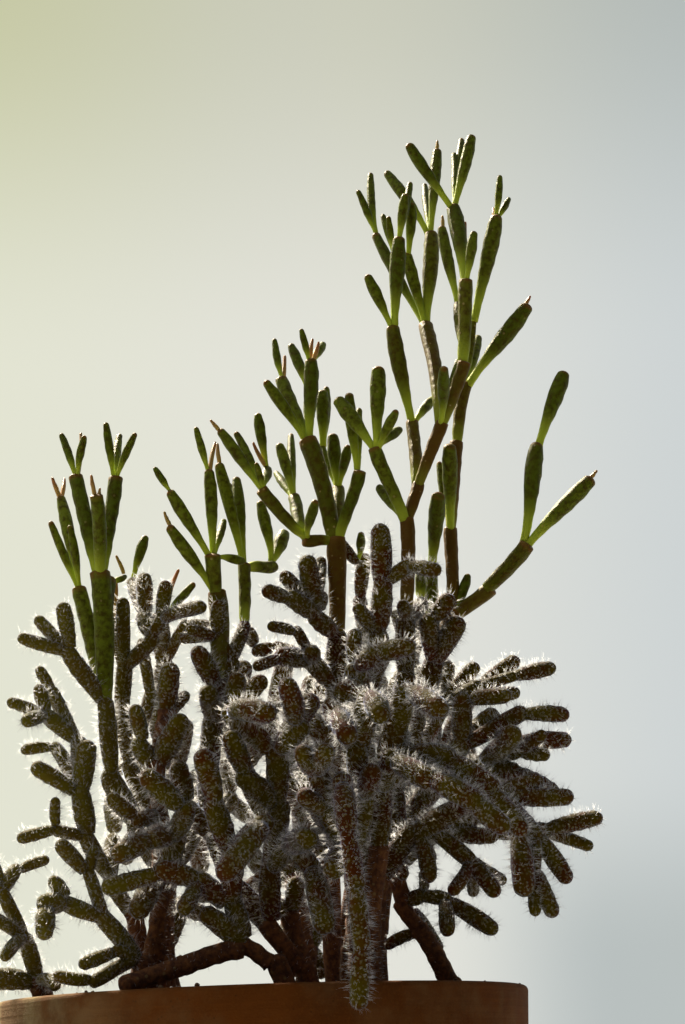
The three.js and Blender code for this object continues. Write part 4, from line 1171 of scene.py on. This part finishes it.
def lumps(centres, sizes, tones):
    """Small stones: rings of points round each centre, the radius of a ball times a random
    unevenness, flattened and turned at random."""
    count, rings = len(centres), len(LUMP_TILTS)
    tilt, turn = np.radians(LUMP_TILTS)[:, None], circle(LUMP_SIDES)
    ball = np.stack([np.sin(tilt) * np.cos(turn), np.sin(tilt) * np.sin(turn),
                     -np.cos(tilt) + 0 * turn], -1)
    skin = ball * chance.uniform(*LUMP_UNEVEN, (count, rings, LUMP_SIDES, 1))
    ends = np.array([[0, 0, -LUMP_POLE], [0, 0, LUMP_POLE]]) * np.ones((count, 1, 1))
    spin = chance.uniform(0, TURN, count)
    cos, sin, nil, one = np.cos(spin), np.sin(spin), np.zeros(count), np.ones(count)
    turns = np.array([[cos, -sin, nil], [sin, cos, nil], [nil, nil, one]]).transpose(2, 0, 1)
    scale = sizes[:, None] * chance.uniform(*LUMP_SHAPES, (count, 3))
    shaped = [(v.reshape(count, -1, 3) * scale[:, None]) @ turns + centres[:, None]
              for v in (skin, ends)]
    growth = np.zeros((count, rings, 3)) + tones[:, None, None]
    return shaped[0].reshape(skin.shape), shaped[1], growth


# Crumbs: how many lie on the soil and on the rim, their sizes, how far in they keep from the
# edges, and how high their middles lie, in their own sizes.
CRUMBS, CRUMB_SIZES, CRUMB_INSET, CRUMB_RISE = 260, (0.5, 1.7), 2.2, 0.25
RIM_CRUMBS, RIM_CRUMB_SIZES, RIM_INSETS, RIM_CRUMB_RISE = 30, (0.3, 0.9), (1.4, 1.6), 0.3


def make_crumbs():
    """Loose crumbs all over the soil, and a few that lie on the rim."""
    turn = chance.uniform(0, TURN, CRUMBS)
    out = (MOUTH_RADIUS - CRUMB_INSET) * np.sqrt(chance.uniform(0, 1, CRUMBS))
    x, y = out * np.cos(turn), out * np.sin(turn)
    size = chance.uniform(*CRUMB_SIZES, CRUMBS)
    centres = np.stack([x, y, soil_height(x, y) + CRUMB_RISE * size], 1)
    turn = chance.uniform(0, TURN, RIM_CRUMBS)
    out = chance.uniform(MOUTH_RADIUS + RIM_INSETS[0], RIM_RADIUS - RIM_INSETS[1], RIM_CRUMBS)
    rim_size = chance.uniform(*RIM_CRUMB_SIZES, RIM_CRUMBS)
    height = POT_HEIGHT + RIM_CRUMB_RISE * rim_size
    rim = np.stack([out * np.cos(turn), out * np.sin(turn), height], 1)
    skin, poles, growth = lumps(np.concatenate([centres, rim]), np.concatenate([size, rim_size]),
                                chance.uniform(0, 1, CRUMBS + RIM_CRUMBS))
    made = solid("soil_crumbs", [closed(skin, poles, growth, 0)],
                 [material("loose_crumb", loose_crumb)])


make_crumbs()

# Moss along the wall: cushions named by their direction from the front, in degrees, and their
# size in mm; how far in they lie and how high, in their own sizes; their tone and their blades.
MOSS = [(-68, 5), (-49, 4), (-42, 5.5), (-24, 4.5), (22, 6), (35, 4), (80, 5), (128, 6),
        (170, 5), (215, 6), (250, 4)]
MOSS_INSET, MOSS_RISE, MOSS_TONE = 0.62, 0.1, 0.3
BLADES = dict(tufts=1.4, each=2, hair=2)


def make_moss():
    """Cushions of moss against the wall: a low lump of soil with fine blades that stand out of
    it."""
    turn, size = np.array(MOSS, float).T
    turn = np.radians(turn)
    out = MOUTH_RADIUS - MOSS_INSET * size
    x, y = out * np.sin(turn), -out * np.cos(turn)
    centres = np.stack([x, y, soil_height(x, y) + MOSS_RISE * size], 1)
    skin, poles, growth = lumps(centres, size, np.full(len(size), MOSS_TONE))
    parts = [closed(skin, poles, growth, 0), bristles(skin, BLADES, 0)]
    made = solid("moss_cushions", parts, [material("dry_moss", dry_moss)])


make_moss()

# Floor and light: a plain floor that the sun makes pale, a pale sky brighter behind, a soft sun
# from behind left and a faint fill from the front.
FLOOR_REACH = 1500
FLOOR_SIDES = 64
FLOOR_THICKNESS = 4
FLOOR_DROP = 0.05
SKY_FRONT = 0.16
SUN_SIZE = math.radians(4)
FILL_DISTANCE = 1300
FILL_SIZE = 0.9
LIT_HEIGHT = 1.8 * POT_HEIGHT


def pale_floor(tree):
    """Matt paper."""
    return node(tree, "BsdfPrincipled", {"Base Color": "#86878a", "Roughness": 0.9})


def make_floor():
    """A disc far wider than the pot, just under it: two rings of points round the middle."""
    turn = circle(FLOOR_SIDES)
    edge = np.stack([np.cos(turn), np.sin(turn), 0 * turn], 1) * FLOOR_REACH
    ends = np.array([[[0, 0, -FLOOR_THICKNESS], [0, 0, -FLOOR_DROP]]])
    rings = edge + ends[:, :, None]
    made = solid("floor", [closed(rings, ends, blank(rings), 0)],
                 [material("pale_floor", pale_floor)])


make_floor()


def make_sky():
    """A pale sky: its colour goes from warm at the left to cool at the right, and it is brighter
    behind the plant (+Y) than in front of it."""
    world = bpy.data.worlds.new("pale_sky")
    bpy.context.scene.world = world
    world.use_nodes = True
    tree = world.node_tree
    tree.nodes.clear()
    direction = node(tree, "TexCoord").outputs["Generated"]
    x, y, z = node(tree, "SeparateXYZ", [direction]).outputs[:3]
    left, right = (x, -0.2, 0), (x, 0, 0.2)
    high = painted(tree, "#c6c8a2", ("#cacbba", left), ("#b2b9b7", right))
    colour = painted(tree, "#e3e4d2", ("#e3e3da", left), ("#cdd3d4", right),
                     ("#b9c0bf", (x, 0.04, 0.13), (z, 0.05, 0.15, 1, 0)),
                     (high, (z, 0.34, 0.53)))
    strength = mask(tree, (y, -0.5, 0.6, SKY_FRONT, 1))
    back = node(tree, "Background", {"Color": colour, "Strength": strength})
    node(tree, "OutputWorld", {"Surface": back.outputs[0]})


make_sky()


def make_lamp(kind, name, energy, colour, towards, distance=0, **settings):
    """A lamp that shines along towards, from a distance in mm before the middle of the plant."""
    data = bpy.data.lights.new(name, kind)
    data.energy, data.color = energy, linear(colour)[:3]
    for key, value in settings.items():
        setattr(data, key, value)
    lamp = bpy.data.objects.new(name, data)
    bpy.context.scene.collection.objects.link(lamp)
    heading = unit(np.array(towards, float))
    lamp.location = np.array([0, 0, LIT_HEIGHT]) * MM - heading * distance * MM
    side = unit(np.cross([0, 0, 1], -heading))
    axes = np.stack([side, np.cross(-heading, side), -heading], 1)
    lamp.rotation_euler = Matrix(axes).to_euler()


make_lamp("SUN", "sun_behind", 13, "#fff4dd", (0.36, -0.5, -0.72), angle=SUN_SIZE)
make_lamp("AREA", "fill", 3.4, "#ececff", (0.45, 0.5, -0.75), FILL_DISTANCE, size=FILL_SIZE)

# Camera: where the photograph was taken from, looking up, and turned a little.
LENS = 68.55
SENSOR = 36
CLIP = 0.02, 20
TILT = math.radians(16.1)
ROLL = math.radians(2.07)


def make_camera():
    """A camera at the point that the plant is seen from."""
    data = bpy.data.cameras.new("camera")
    data.lens, data.sensor_width, data.sensor_fit = LENS, SENSOR, "AUTO"
    data.clip_start, data.clip_end = CLIP
    right, forward = np.array([1, 0, 0]), np.array([0, math.cos(TILT), math.sin(TILT)])
    up = np.cross(right, forward)
    across = math.cos(ROLL) * right - math.sin(ROLL) * up
    upward = math.sin(ROLL) * right + math.cos(ROLL) * up
    camera = bpy.data.objects.new("camera", data)
    camera.rotation_euler = Matrix(np.stack([across, upward, -forward], 1)).to_euler()
    camera.location = np.array([VIEW_ACROSS, -VIEW_DISTANCE, POT_HEIGHT + VIEW_UP]) * MM
    bpy.context.scene.collection.objects.link(camera)
    bpy.context.scene.camera = camera


make_camera()
bpy.context.scene.view_settings.view_transform = "Standard"
